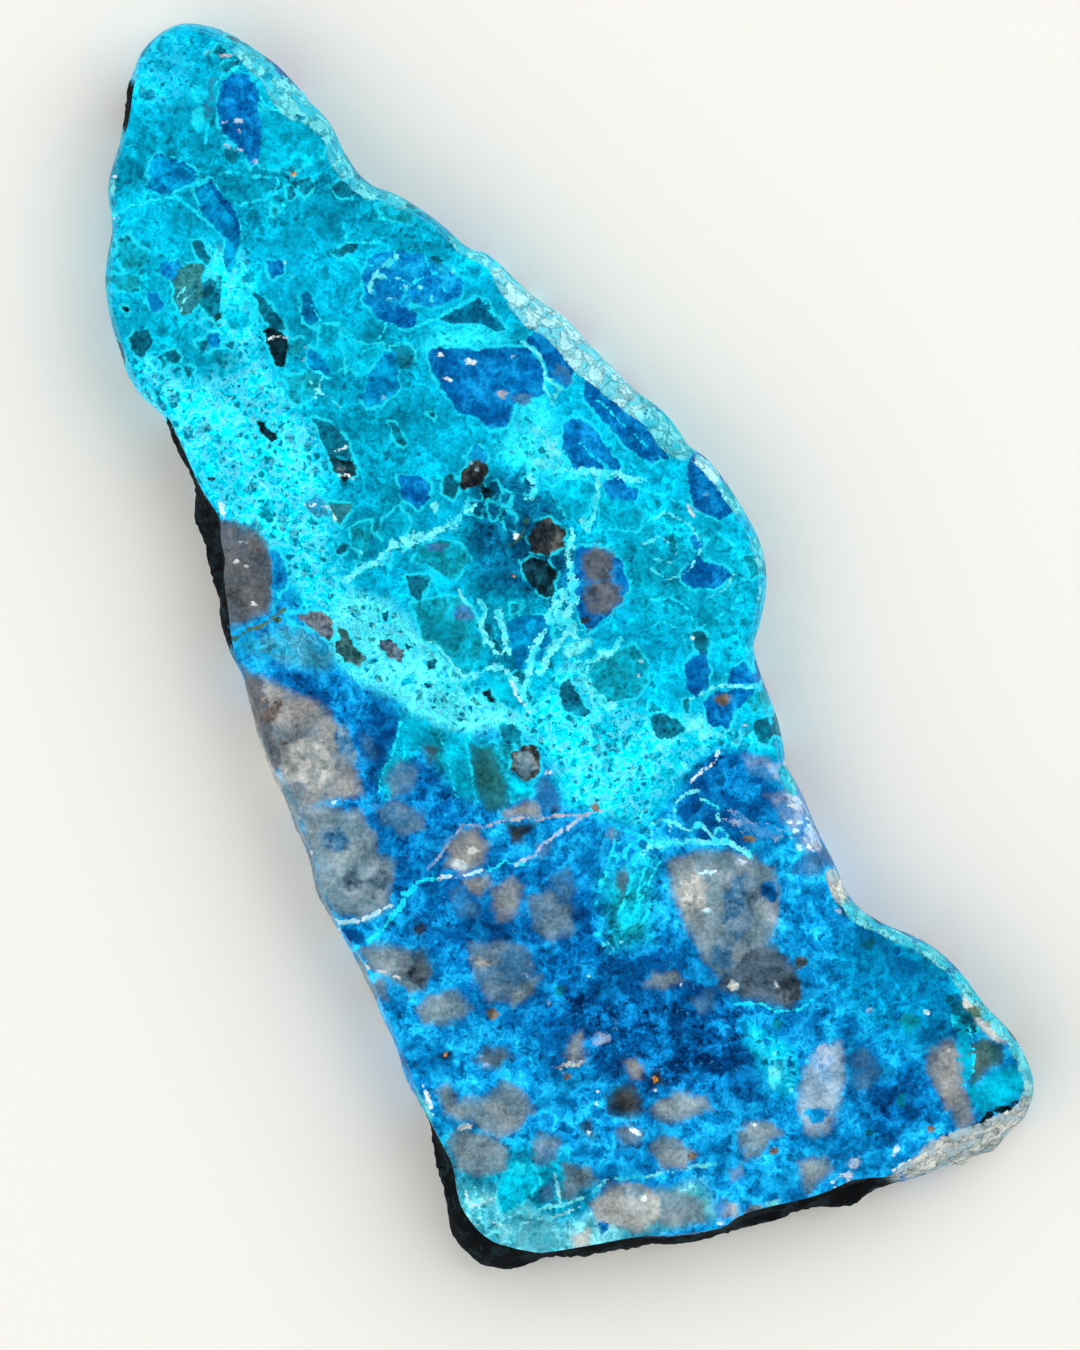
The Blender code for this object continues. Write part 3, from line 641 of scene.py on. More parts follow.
# Clasts in the lower part: grey, cloudy and soft at the edge, stained blue from outside.
SOFT_CLASTS = {
    "teal": [
        [(972, 1102), (985, 1075), (1018, 1061), (1031, 1088), (1004, 1108), (980, 1118)],
    ],
    "grey": [
        [(666, 860), (700, 850), (745, 852), (774, 868), (781, 900), (778, 925), (768, 946), (750, 960),
         (735, 976), (716, 978), (702, 958), (688, 932), (676, 905), (668, 880)],
        [(262, 768), (288, 774), (306, 798), (304, 845), (320, 890), (338, 918), (330, 938), (305, 885),
         (288, 840), (268, 792)],
        [(300, 800), (330, 806), (358, 812), (376, 832), (378, 855), (396, 862), (390, 890), (388, 908),
         (365, 918), (335, 915), (318, 890), (304, 845)],
        [(360, 950), (378, 942), (410, 948), (433, 965), (422, 990), (408, 995), (385, 976), (366, 967)],
        [(437, 1096), (448, 1079), (456, 1100), (480, 1098), (505, 1082), (526, 1092), (533, 1110),
         (520, 1130), (500, 1137), (475, 1126), (442, 1114)],
        [(448, 1022), (420, 1028), (418, 1008), (430, 994), (455, 990), (472, 1008), (460, 1020)],
        [(505, 986), (518, 974), (540, 975), (530, 1000), (512, 1008)],
        [(648, 1110), (655, 1101), (678, 1090), (705, 1098), (712, 1108), (690, 1118), (665, 1125)],
        [(737, 1130), (750, 1121), (775, 1122), (784, 1132), (760, 1155), (746, 1162)],
        [(796, 1160), (825, 1155), (832, 1167), (810, 1194), (802, 1184)],
        [(650, 1146), (664, 1134), (682, 1142), (698, 1156), (685, 1170), (658, 1167)],
        [(643, 984), (652, 972), (675, 970), (687, 980), (665, 990)],
        [(565, 1166), (590, 1166), (597, 1180), (575, 1197), (562, 1196)],
        [(445, 1140), (462, 1130), (490, 1134), (508, 1150), (505, 1170), (482, 1178), (458, 1172)],
        [(652, 1186), (680, 1189), (705, 1202), (704, 1222), (680, 1228), (658, 1226)],
        [(376, 976), (386, 980), (388, 1000), (372, 992)],
    ],
    "warm grey": [
        [(262, 675), (290, 690), (320, 700), (345, 738), (366, 796), (330, 800), (300, 812), (283, 790),
         (262, 735), (250, 700)],
        [(622, 1060), (634, 1056), (644, 1064), (640, 1078), (628, 1076)],
        [(504, 1092), (520, 1090), (531, 1108), (520, 1128), (506, 1120)],
        [(445, 868), (446, 846), (460, 830), (477, 826), (489, 842), (487, 864), (465, 874)],
        [(490, 892), (512, 876), (525, 885), (518, 910), (500, 922), (491, 908)],
        [(462, 879), (488, 874), (491, 886), (478, 897), (464, 890)],
        [(928, 1070), (929, 1050), (940, 1040), (952, 1037), (962, 1050), (963, 1085), (974, 1108),
         (974, 1124), (960, 1130), (950, 1118), (938, 1098)],
        [(562, 1056), (573, 1034), (584, 1030), (584, 1060), (572, 1066)],
        [(502, 811), (528, 801), (541, 804), (540, 816), (505, 820)],
    ],
    "umber grey": [
        [(214, 516), (238, 521), (262, 538), (276, 560), (279, 588), (268, 612), (240, 628), (222, 628),
         (216, 580), (216, 550)],
        [(236, 662), (262, 676), (286, 694), (284, 735), (290, 768), (268, 778), (252, 735), (240, 700)],
    ],
    "slate": [
        [(717, 985), (728, 962), (750, 944), (768, 942), (795, 965), (804, 990), (793, 1007), (745, 1000)],
        [(474, 1058), (486, 1048), (505, 1047), (512, 1059), (500, 1070), (482, 1070)],
        [(404, 951), (424, 947), (433, 968), (425, 992), (410, 984)],
        [(614, 882), (623, 867), (630, 870), (623, 903)],
        [(424, 747), (436, 745), (437, 758), (429, 764)],
    ],
    "sage": [
        [(468, 746), (490, 748), (508, 785), (508, 808), (488, 812), (474, 785)],
    ],
    "blue grey": [
        [(793, 870), (803, 856), (820, 852), (829, 866), (812, 880)],
        [(849, 1054), (862, 1047), (876, 1056), (880, 1075), (870, 1090), (856, 1088), (848, 1072)],
        [(535, 785), (546, 775), (560, 792), (562, 809), (543, 812)],
        [(448, 892), (460, 885), (478, 902), (477, 918), (458, 915)],
        [(548, 877), (568, 865), (577, 888), (568, 905), (554, 898)],
        [(360, 732), (374, 740), (377, 760), (366, 766)],
        [(540, 1186), (554, 1180), (556, 1202), (543, 1204)],
    ],
    "pale grey": [
        [(822, 1044), (842, 1042), (846, 1068), (838, 1110), (830, 1132), (815, 1138), (804, 1132),
         (796, 1098), (804, 1068)],
    ],
    "lilac": [
        [(765, 795), (798, 786), (814, 830), (826, 852), (798, 848), (778, 812)],
        [(740, 756), (770, 758), (788, 770), (770, 781), (748, 774)],
        [(538, 846), (549, 844), (549, 857), (540, 858)],
        [(606, 834), (613, 827), (617, 832), (614, 842)],
        [(728, 1170), (741, 1165), (744, 1174), (732, 1181)],
    ],
    "brown black": [
        [(503, 823), (536, 823), (524, 846), (512, 842)],
        [(606, 1100), (616, 1086), (632, 1084), (643, 1098), (641, 1114), (622, 1120), (609, 1113)],
        [(413, 926), (424, 922), (424, 938), (415, 936)],
        [(648, 1080), (657, 1071), (668, 1084), (655, 1087)],
        [(578, 1126), (588, 1118), (597, 1136), (590, 1145)],
        [(621, 1060), (640, 1062), (643, 1078), (634, 1071)],
    ],
    "dark olive": [
        [(964, 1045), (985, 1034), (1006, 1044), (1002, 1063), (985, 1074), (972, 1094), (966, 1062)],
    ],
    "beige": [
        [(589, 1205), (610, 1185), (640, 1183), (664, 1192), (668, 1220), (640, 1232), (600, 1228)],
        [(571, 1233), (588, 1230), (591, 1248), (573, 1247)],
        [(724, 1197), (738, 1204), (741, 1220), (728, 1214)],
    ],
    "turquoise": [
        [(512, 1242), (528, 1222), (548, 1221), (560, 1240), (545, 1252), (522, 1250)],
    ],
    "black": [
        [(434, 1056), (446, 1050), (456, 1056), (446, 1062)],
        [(835, 896), (850, 906), (846, 917), (838, 910)],
        [(683, 781), (690, 772), (702, 765), (692, 778)],
    ],
    "stained grey": [
        [(375, 806), (400, 800), (426, 815), (425, 831), (403, 838), (382, 822)],
        [(384, 777), (398, 759), (417, 768), (414, 792), (393, 796)],
        [(528, 1142), (545, 1130), (561, 1140), (557, 1161), (536, 1165)],
        [(613, 1130), (628, 1122), (643, 1132), (638, 1146), (620, 1148)],
        [(528, 897), (550, 888), (574, 902), (576, 930), (552, 945), (532, 928)],
        [(468, 945), (500, 938), (528, 950), (534, 978), (520, 1000), (490, 1002), (472, 980)],
        [(690, 1000), (712, 990), (716, 1004), (700, 1012)],
    ],
    "crust": [
        [(228, 34), (262, 52), (300, 86), (334, 122), (320, 127), (296, 116), (278, 104), (271, 80),
         (262, 70), (244, 54)],
        [(700, 460), (715, 464), (742, 495), (747, 508), (736, 505), (718, 488)],
    ],
    "cream": [
        [(912, 1160), (935, 1142), (975, 1130), (1005, 1113), (1035, 1104), (1050, 1150), (960, 1190),
         (910, 1185)],
        [(962, 992), (978, 990), (1000, 1015), (1011, 1042), (990, 1038), (974, 1018)],
    ],
}

# Veins: colour and half width, and the lines that veins of that kind follow.
VEINS = {
    # Near-black crevices along the rim at the foot's right corner: painted shade over dark rock.
    ("shaded dark rock", 2.4): [
        [(1019, 1101), (1002, 1108), (985, 1117)],
    ],
    ("shaded dark rock", 1.3): [
        [(985, 1117), (968, 1130), (950, 1136)],
    ],
    ("pale cyan", 3.0): [
        [(550, 612), (545, 632), (533, 650), (528, 672), (524, 700)],
        [(590, 664), (600, 655), (614, 650), (622, 640)],
        [(345, 580), (362, 566), (378, 560), (392, 548), (402, 538)],
    ],
    ("pale cyan", 3.4): [
        [(572, 628), (560, 640), (548, 655), (540, 672)],
        [(535, 462), (560, 470), (600, 472), (640, 480)],
    ],
    ("pale cyan", 3.2): [
        [(580, 668), (584, 682), (592, 694), (610, 702)],
        [(583, 671), (590, 690), (602, 702), (613, 706)],
    ],
    ("pale cyan", 2.4): [
        [(497, 612), (503, 628), (506, 645), (498, 655), (486, 640)],
        [(500, 610), (505, 628), (503, 645), (509, 655)],
    ],
    ("pale cyan", 2.6): [
        [(468, 680), (482, 672), (496, 664), (506, 672), (520, 690), (528, 708)],
        [(571, 530), (568, 555), (571, 580)],
        [(640, 860), (648, 845), (680, 843), (722, 841), (745, 850), (753, 860)],
    ],
    ("pale cyan", 2.2): [
        [(478, 598), (486, 610), (482, 625), (486, 640)],
        [(369, 291), (371, 280), (379, 270), (396, 257)],
        [(597, 479), (598, 492), (594, 510), (589, 531), (582, 520)],
    ],
    ("bright cyan", 1.5): [
        [(617, 826), (612, 850), (608, 870), (600, 890), (594, 905)],
        [(640, 850), (632, 870), (628, 892), (618, 915)],
        [(655, 822), (640, 838), (625, 850), (612, 856)],
        [(668, 846), (650, 858), (640, 880), (636, 900)],
        [(312, 303), (322, 323), (340, 325), (342, 345), (345, 372)],
        [(379, 337), (388, 323), (405, 332), (425, 322), (440, 318), (476, 295), (508, 328)],
        [(600, 812), (620, 830), (650, 840)],
    ],
    ("bright cyan", 1.6): [
        [(243, 64), (220, 77), (211, 90), (208, 124), (204, 144)],
        [(256, 76), (260, 90), (263, 105), (275, 110), (310, 122)],
        [(113, 217), (135, 204), (165, 199), (176, 197), (196, 213), (203, 220)],
        [(735, 1003), (760, 1003), (775, 1010), (800, 1010), (815, 1000)],
        [(490, 870), (505, 861), (530, 866)],
    ],
    ("pink", 1.3): [
        [(221, 57), (232, 55), (242, 52)],
    ],
    ("night blue", 2.4): [
        [(208, 180), (224, 203), (234, 215), (238, 232)],
    ],
    ("bright cyan", 1.4): [
        [(176, 192), (190, 185), (205, 178), (233, 170), (262, 178), (278, 180)],
        [(240, 205), (270, 195), (278, 182)],
        [(300, 370), (318, 374), (332, 380)],
        [(344, 222), (347, 240), (380, 243)],
    ],
    ("white", 1.2): [
        [(266, 341), (278, 338), (287, 336)],
        [(330, 452), (342, 450), (346, 446)],
        [(465, 1190), (475, 1215), (500, 1225)],
        [(460, 1215), (478, 1225), (490, 1245)],
        [(462, 1200), (480, 1206), (495, 1198)],
    ],
    ("bright cyan", 2.6): [
        [(238, 270), (240, 285), (256, 320), (258, 332)],
        [(353, 950), (378, 935), (400, 908), (405, 895), (420, 883), (438, 878)],
    ],
    ("bright cyan", 1.3): [
        [(378, 208), (384, 216), (386, 222)],
        [(401, 722), (393, 752), (380, 778), (378, 798)],
        [(620, 842), (618, 860), (606, 875), (598, 885)],
        [(630, 848), (640, 850), (638, 865), (628, 870), (625, 858), (630, 848)],
        [(660, 860), (650, 880), (630, 920)],
        [(575, 440), (610, 470), (650, 492), (690, 505)],
    ],
    ("pale cyan", 2.0): [
        [(522, 343), (541, 357), (546, 378), (560, 388), (553, 397)],
    ],
    ("pale cyan", 1.5): [
        [(544, 385), (548, 395), (552, 402)],
        [(675, 805), (675, 822), (690, 833), (700, 824), (712, 835), (720, 827)],
    ],
    ("pale cyan", 3.6): [
        [(533, 432), (545, 434), (556, 455), (550, 464)],
    ],
    ("pale cyan", 2.8): [
        [(530, 475), (534, 488), (530, 500)],
    ],
    ("white", 1.3): [
        [(338, 475), (348, 473), (353, 478)],
        [(510, 680), (516, 695), (530, 712)],
    ],
    ("pale cyan", 4.0): [
        [(470, 507), (445, 528), (415, 540), (400, 545)],
    ],
    ("olive", 1.6): [
        [(527, 520), (520, 538), (510, 545)],
    ],
    ("pale cyan", 1.8): [
        [(458, 590), (467, 603), (483, 630), (485, 645)],
        [(430, 640), (455, 668), (463, 678), (475, 672)],
    ],
    ("pale cyan", 4.6): [
        [(571, 578), (573, 595), (567, 615), (575, 633)],
    ],
    ("pale cyan", 5.0): [
        [(562, 592), (556, 605), (560, 622)],
    ],
    ("white", 1.4): [
        [(306, 502), (330, 508), (336, 520)],
        [(692, 782), (710, 765), (720, 750)],
    ],
    ("pale cyan", 1.6): [
        [(690, 700), (720, 685), (745, 686), (762, 684)],
    ],
    ("pale cyan", 1.4): [
        [(675, 805), (685, 794), (698, 790), (702, 800), (716, 805), (720, 820)],
        [(720, 828), (728, 838), (752, 860)],
    ],
    ("pale cyan", 1.2): [
        [(650, 825), (660, 818), (670, 822), (671, 835), (662, 842), (652, 838), (650, 825)],
        [(465, 1228), (484, 1236), (498, 1232)],
    ],
    ("bright cyan", 1.2): [
        [(440, 736), (446, 760), (459, 797)],
        [(462, 738), (470, 762), (476, 795)],
        [(655, 900), (645, 915), (640, 935)],
        [(715, 530), (735, 545), (745, 575), (735, 605), (712, 622), (690, 628)],
        [(650, 600), (672, 598), (690, 610), (700, 628)],
        [(640, 630), (662, 622), (680, 632), (688, 650)],
    ],
    ("white", 2.0): [
        [(332, 920), (360, 921), (380, 911), (391, 907)],
    ],
    ("white", 1.5): [
        [(438, 878), (462, 876), (485, 870)],
    ],
    ("lilac", 1.6): [
        [(428, 870), (447, 845), (463, 825), (488, 825)],
    ],
    ("pink", 1.5): [
        [(488, 824), (515, 820), (560, 816), (585, 815), (602, 810)],
    ],
    ("pale lilac", 1.8): [
        [(580, 818), (560, 833), (540, 845), (535, 855), (515, 865)],
    ],
    ("cream", 1.2): [
        [(362, 965), (375, 970), (400, 978)],
    ],
    ("blue", 2.0): [
        [(432, 965), (445, 978), (475, 995), (480, 1010), (476, 1045)],
    ],
    ("aqua", 1.5): [
        [(497, 1223), (520, 1212), (562, 1205), (590, 1195), (607, 1180), (655, 1174), (717, 1163)],
    ],
    ("crust", 1.3): [
        [(512, 1240), (522, 1225), (545, 1218), (578, 1208)],
    ],
    ("crust", 1.4): [
        [(556, 1175), (558, 1185), (560, 1203)],
    ],
    ("teal", 5.0): [
        [(962, 1022), (967, 1045), (967, 1080), (974, 1096)],
    ],
    ("bright cyan", 1.1): [
        [(970, 1024), (973, 1048), (972, 1080)],
        [(560, 400), (585, 420), (612, 446), (640, 470)],
    ],
    ("black", 2.2): [
        [(982, 1120), (1002, 1112), (1020, 1103)],
    ],
    ("charcoal", 1.6): [
        [(945, 1143), (970, 1141), (1000, 1130), (1016, 1120)],
    ],
    ("charcoal", 1.4): [
        [(925, 1163), (952, 1163), (980, 1152)],
    ],
    ("white", 1.6): [
        [(895, 1170), (925, 1155)],
    ],
    ("steel teal", 3.6): [
        [(211, 80), (209, 98), (208, 115)],
    ],
    ("night blue", 1.3): [
        [(154, 152), (163, 156), (172, 158), (185, 162), (196, 172)],
    ],
    ("pale cyan", 0.8): [
        [(176, 300), (186, 285), (198, 272)],
        [(180, 312), (188, 298), (196, 290)],
    ],
    ("pale cyan", 0.9): [
        [(353, 550), (360, 551), (366, 554)],
        [(306, 380), (318, 392), (330, 398), (344, 412)],
        [(322, 378), (318, 392), (310, 406)],
        [(705, 600), (725, 590), (738, 570)],
    ],
    ("bright cyan", 0.9): [
        [(342, 330), (352, 345), (360, 362)],
        [(350, 372), (362, 352), (380, 345)],
        [(395, 249), (392, 268), (402, 280), (420, 292)],
    ],
    ("bright cyan", 1.0): [
        [(366, 262), (380, 272), (395, 285), (410, 300)],
        [(425, 256), (430, 275), (445, 290)],
        [(400, 303), (405, 290), (418, 278), (436, 272)],
        [(578, 392), (600, 402), (634, 434), (664, 462)],
    ],
    ("pale cyan", 1.0): [
        [(648, 520), (668, 512), (690, 525), (702, 548), (690, 572), (668, 580), (650, 570)],
        [(640, 545), (660, 535), (678, 548), (672, 562), (655, 560)],
        [(474, 1186), (482, 1206), (480, 1228)],
    ],
    ("aqua", 2.4): [
        [(744, 520), (756, 540), (762, 570), (762, 598)],
    ],
    ("moss", 1.9): [
        [(234, 640), (250, 630), (262, 625), (272, 620), (284, 609)],
    ],
    ("azure", 2.2): [
        [(262, 655), (275, 664), (287, 673)],
    ],
    ("lilac", 4.5): [
        [(730, 818), (752, 828), (778, 838)],
    ],
    ("white", 1.0): [
        [(830, 1181), (836, 1176), (846, 1176), (850, 1181), (844, 1187), (834, 1186), (830, 1181)],
    ],
    ("crust", 1.6): [
        [(880, 926), (930, 948), (984, 990), (1012, 1040), (1026, 1085)],
    ],
}

# Oval spots in and over the clasts: across, down, half length, half width and turn in degrees.
SPOTS = {
    "pale lilac": [
        (783, 774, 17, 8, 35), (797, 800, 16, 8, 60), (816, 838, 15, 6, 62), (224, 121, 3, 2, 0),
        (238, 122, 5, 2, 10), (238, 130, 3, 2, 0), (228, 147, 4, 2, 40), (240, 149, 3, 2, 0),
        (255, 161, 3, 2, 0), (741, 862, 6, 4, 0), (822, 1060, 9, 12, 20), (855, 1163, 7, 5, -30),
        (849, 1176, 6, 3, 0),
    ],
    "white": [
        (790, 822, 3, 2, 0), (796, 831, 3, 3, 0), (803, 839, 3, 2, 40), (810, 847, 4, 2, 50),
        (793, 838, 2, 2, 0), (800, 822, 3, 2, 20), (806, 830, 2, 3, 0), (791, 806, 4, 3, 30),
        (800, 849, 2, 2, 0), (284, 264, 2, 2, 0), (212, 373, 2, 2, 0), (470, 362, 5, 3, 0),
        (512, 355, 3, 2, 0), (447, 380, 4, 2, 30), (440, 355, 4, 2, 0), (692, 512, 6, 2, 60),
        (701, 501, 8, 2, -60), (472, 464, 3, 2, 0), (477, 470, 2, 2, 0), (516, 536, 3, 4, 0),
        (641, 662, 2, 2, 0), (637, 676, 2, 1.5, 0), (692, 637, 2, 2, 0), (549, 773, 5, 3, 0),
        (333, 802, 3, 2, 0), (703, 910, 8, 2, 10), (705, 873, 10, 1.5, -14), (778, 985, 7, 2, 40),
        (680, 985, 3, 2, 0), (525, 974, 3, 2, 0), (428, 1100, 3, 10, -15), (645, 1200, 3, 3, 0),
        (655, 1089, 3, 2, 0), (588, 1133, 3, 3, 0), (634, 1132, 6, 3, 30), (598, 1092, 2, 2, 0),
        (598, 1103, 2, 2, 0), (549, 1002, 2, 4, 0), (590, 975, 2, 2, 0), (722, 1224, 3, 2, 0),
        (754, 1125, 3, 2, 0), (897, 1151, 3, 5, 20), (925, 1012, 4, 2, 30), (745, 725, 3, 1.5, 0),
        (114, 178, 2, 2, 0), (112, 188, 2, 3, 0), (117, 218, 2, 2, 0), (385, 398, 2, 2, 0),
        (221, 508, 3, 7, -10), (394, 990, 2, 1.5, 0), (402, 995, 2, 1.5, 0), (424, 1088, 2, 3, 0),
        (431, 1116, 2, 3, 0),
    ],
    "cream": [
        (986, 1024, 16, 7, 52), (969, 1004, 8, 5, 50), (237, 562, 3, 2, 0), (246, 566, 3, 2, 0),
        (243, 542, 3, 1.5, 0), (253, 604, 3, 2, 0), (310, 853, 2, 2, 0), (473, 850, 7, 5, 0),
        (458, 864, 8, 5, 0), (733, 985, 5, 4, 0), (842, 890, 10, 6, 50), (466, 1127, 7, 3.5, -20),
        (570, 1066, 14, 3, -12), (945, 1138, 5, 3, 0),
    ],
    "moss": [
        (975, 1012, 9, 6, 40),
    ],
    "dark teal": [
        (230, 155, 9, 6, 60), (868, 945, 7, 7, 0), (560, 990, 6, 6, 0), (777, 1025, 6, 6, 0),
        (900, 1100, 4, 8, 0), (868, 1133, 4, 4, 0), (950, 999, 5, 5, 0), (966, 1018, 8, 6, 20),
    ],
    "aqua": [
        (208, 53, 4, 2, -40), (294, 277, 3, 2, 0), (772, 1203, 8, 4, -30),
    ],
    "bright cyan": [
        (200, 94, 9, 8, 0), (199, 118, 7, 12, 0), (274, 194, 3, 3, 0), (283, 206, 3, 2, 0),
        (520, 1168, 6, 6, 0), (755, 1035, 4, 4, 0), (236, 302, 10, 4, 10), (598, 935, 3, 2, 0),
    ],
    "gold": [
        (294, 175, 2, 1.5, 0), (513, 575, 2, 1.5, 0), (446, 1056, 3.6, 3, 0), (655, 1080, 3, 3, 0),
    ],
    "pink": [
        (306, 347, 2, 2, 0), (303, 360, 2, 2, 0), (503, 394, 5, 3, 0), (949, 1050, 3, 3, 0),
        (540, 306, 8, 3, 30),
    ],
    "pale cyan": [
        (382, 277, 4, 3, 0), (398, 277, 3, 2, 0), (405, 288, 5, 3, 30), (371, 292, 4, 3, 0),
        (390, 299, 4, 2, 0), (420, 287, 3, 2, 0), (433, 299, 3, 3, 0), (440, 269, 4, 2, 0),
        (453, 270, 2, 2, 0), (436, 506, 3, 6, 0), (578, 647, 15, 6, -25), (602, 654, 8, 5, 0),
        (694, 724, 10, 6, -50), (705, 733, 8, 5, -50), (774, 1076, 6, 10, 0), (791, 1088, 3, 4, 0),
        (774, 1053, 3, 3, 0), (604, 944, 3, 2, 0), (613, 950, 3, 2, 30), (620, 943, 2, 2, 0),
        (608, 955, 2, 2, 0),
    ],
    "blue grey": [
        (522, 400, 9, 6, 0), (563, 374, 10, 7, 40), (435, 547, 10, 4, 0), (462, 613, 10, 8, 0),
    ],
    "night blue": [
        (650, 452, 11, 5, -40), (630, 430, 6, 4, -40), (703, 502, 9, 7, -40), (896, 951, 4, 6, 0),
        (788, 1064, 3, 6, 0), (750, 1058, 5, 6, 0), (766, 1042, 4, 4, 0), (922, 1105, 7, 6, 0),
        (769, 892, 9, 12, -30), (388, 726, 9, 14, 15), (352, 935, 14, 8, 20), (588, 930, 9, 6, 0),
        (603, 1228, 5, 6, 0),
    ],
    "brown": [
        (340, 468, 4, 2, 0), (723, 699, 7, 6, 0), (272, 712, 7, 14, 30), (262, 700, 4, 3, 0),
        (282, 742, 5, 3, 40), (494, 1014, 6, 4, 0), (568, 1077, 5, 3, 0), (693, 1157, 5, 4, 0),
        (776, 1151, 4, 4, 0), (931, 1130, 4, 4, 0), (595, 808, 5, 4, 0), (750, 838, 6, 3, 0),
    ],
    "taupe": [
        (604, 596, 17, 20, 70), (599, 564, 15, 21, 0),
    ],
    "green teal": [
        (440, 632, 13, 10, 40), (908, 1023, 9, 9, 0),
    ],
    "grey": [
        (525, 763, 11, 14, 0), (633, 1191, 13, 7, 0),
    ],
    "olive": [
        (277, 621, 4, 3, 0),
    ],
    "stained grey": [
        (346, 745, 9, 22, -20), (334, 840, 16, 11, 20), (738, 905, 15, 34, 10), (722, 955, 12, 14, 0),
    ],
    "beige": [
        (312, 764, 27, 21, 40), (692, 895, 14, 22, 10),
    ],
    "slate": [
        (352, 880, 9, 12, 0), (380, 880, 12, 9, 0), (748, 900, 9, 15, 20), (755, 1212, 10, 6, -15),
    ],
    "charcoal": [
        (418, 972, 9, 11, 20), (788, 990, 12, 14, 0), (676, 977, 3, 3, 0), (802, 962, 5, 7, 20),
    ],
    "lilac": [
        (838, 912, 3, 3, 0), (481, 1057, 3, 2, 0), (487, 1066, 3, 2, 0), (600, 1038, 9, 6, 0),
        (721, 1210, 6, 9, 0), (870, 1010, 4, 4, 0),
    ],
    "azure": [
        (818, 1115, 12, 9, 0), (245, 640, 4, 3, 0), (256, 637, 4, 3, -30), (240, 651, 4, 3, 0),
        (398, 992, 9, 7, 0),
    ],
    "blue": [
        (565, 583, 3, 6, 0),
    ],
    "warm grey": [
        (485, 960, 14, 5, 0),
    ],
}

# How far from an outline its depth is still told apart, and how much the outlines wander, in tenths.
FAR = 30.0
WANDER = ((2.6, 17.0), (1.3, 6.0))
# Finish of the clasts: edge softness in tenths, brightness of the line round them, contrast inside.
CRISP_FINISH = (0.7, 0.8, 0.9)
SOFT_FINISH = (4.2, 0.0, 0.85)
VEIN_SOFTNESS, VEIN_CONTRAST = 0.6, 0.5
# Veins with a half width over this have lacy edges.
LACY_FROM = 2.0
# A spot's edge is as soft as this share of its half width.
SPOT_SOFTNESS, LEAST_SPOT_SOFTNESS, SPOT_CONTRAST = 0.28, 0.8, 0.7


def linear(name, which=0):
    """The main (0) or second (1) colour of a kind, in the linear values that a shader reads."""
    values = np.array(COLOURS[name][which]) / 255
    return np.where(values <= 0.04045, values / 12.92, ((values + 0.055) / 1.055) ** 2.4)


def both(name):
    """The main and second colour of a kind, one after the other."""
    return np.concatenate([linear(name), linear(name, 1)])


def wander(across, down):
    """The same places, each shifted a little by noise, so that straight outlines turn natural."""
    shift = np.zeros((len(across), 2))
    for amount, size in WANDER:
        for k, lift in ((0, 3.7), (1, 51.3)):
            shift[:, k] += [
                amount * noise.noise(Vector((x / size, y / size, lift))) for x, y in zip(across, down)
            ]
    return across + shift[:, 0], down + shift[:, 1]


def near(outline, margin):
    """The numbers of the mesh corners within margin of the outline's box."""
    xs, ys = zip(*outline)
    inside = (across > min(xs) - margin) & (across < max(xs) + margin)
    inside &= (down > min(ys) - margin) & (down < max(ys) + margin)
    return np.flatnonzero(inside)


def new_layer():
    """An empty layer of the pattern: depth everywhere far outside, no colour and no finish yet."""
    return {
        "depth": np.full(len(across), -FAR),
        "colour": np.zeros((len(across), 6)),
        "finish": np.zeros((len(across), 3)),
    }


def lay(layer, here, depth, colour, finish):
    """Lays one shape into a layer, wherever it reaches deeper than what the layer holds."""
    better = depth > layer["depth"][here]
    chosen = here[better]
    layer["depth"][chosen] = np.minimum(depth[better], FAR)
    layer["colour"][chosen] = colour
    layer["finish"][chosen] = finish


def depth_in_oval(oval, x, y):
    """How deep each point lies inside an oval spot, negative outside it."""
    middle_across, middle_down, long, short, turn = oval
    angle = math.radians(turn)
    u = (x - middle_across) * math.cos(angle) + (y - middle_down) * math.sin(angle)
    v = (y - middle_down) * math.cos(angle) - (x - middle_across) * math.sin(angle)
    return (1 - np.hypot(u / long, v / short)) * min(long, short)


across, down = wander((pattern_places[:, 0] + MIDDLE[0]) / TENTH, (MIDDLE[1] - pattern_places[:, 1]) / TENTH)

ground = np.zeros((len(across), 6))
froth = np.zeros(len(across))
sugar = np.zeros(len(across))
for colour, fade, froth_amount, sugar_amount, outline in AREAS:
    here = near(outline, fade)
    share = np.clip(0.5 + depth_in(outline, across[here], down[here]) / (2 * fade), 0, 1)
    share = share * share * (3 - 2 * share)
    ground[here] += (both(colour) - ground[here]) * share[:, None]
    froth[here] += (froth_amount - froth[here]) * share
    sugar[here] += (sugar_amount - sugar[here]) * share

clasts, veins, spots = new_layer(), new_layer(), new_layer()
for family, finish in ((CRISP_CLASTS, CRISP_FINISH), (SOFT_CLASTS, SOFT_FINISH)):
    for colour, outlines in family.items():
        for outline in outlines:
            here = near(outline, FAR)
            depth = depth_in(outline, across[here], down[here])
            lay(clasts, here, depth, both(colour), finish)
for (colour, half_width), lines in VEINS.items():
    lace = max(0.0, half_width - LACY_FROM) * TENTH
    for line in lines:
        here = near(line, FAR)
        depth = half_width - distance_from(line, across[here], down[here])
        lay(veins, here, depth, both(colour), (VEIN_SOFTNESS, lace, VEIN_CONTRAST))
for colour, ovals in SPOTS.items():
    for oval in ovals:
        long, short = oval[2:4]
        here = near([oval[:2]], long + FAR)
        depth = depth_in_oval(oval, across[here], down[here])
        softness = max(LEAST_SPOT_SOFTNESS, SPOT_SOFTNESS * min(long, short))
        lay(spots, here, depth, both(colour), (softness, 0, SPOT_CONTRAST))
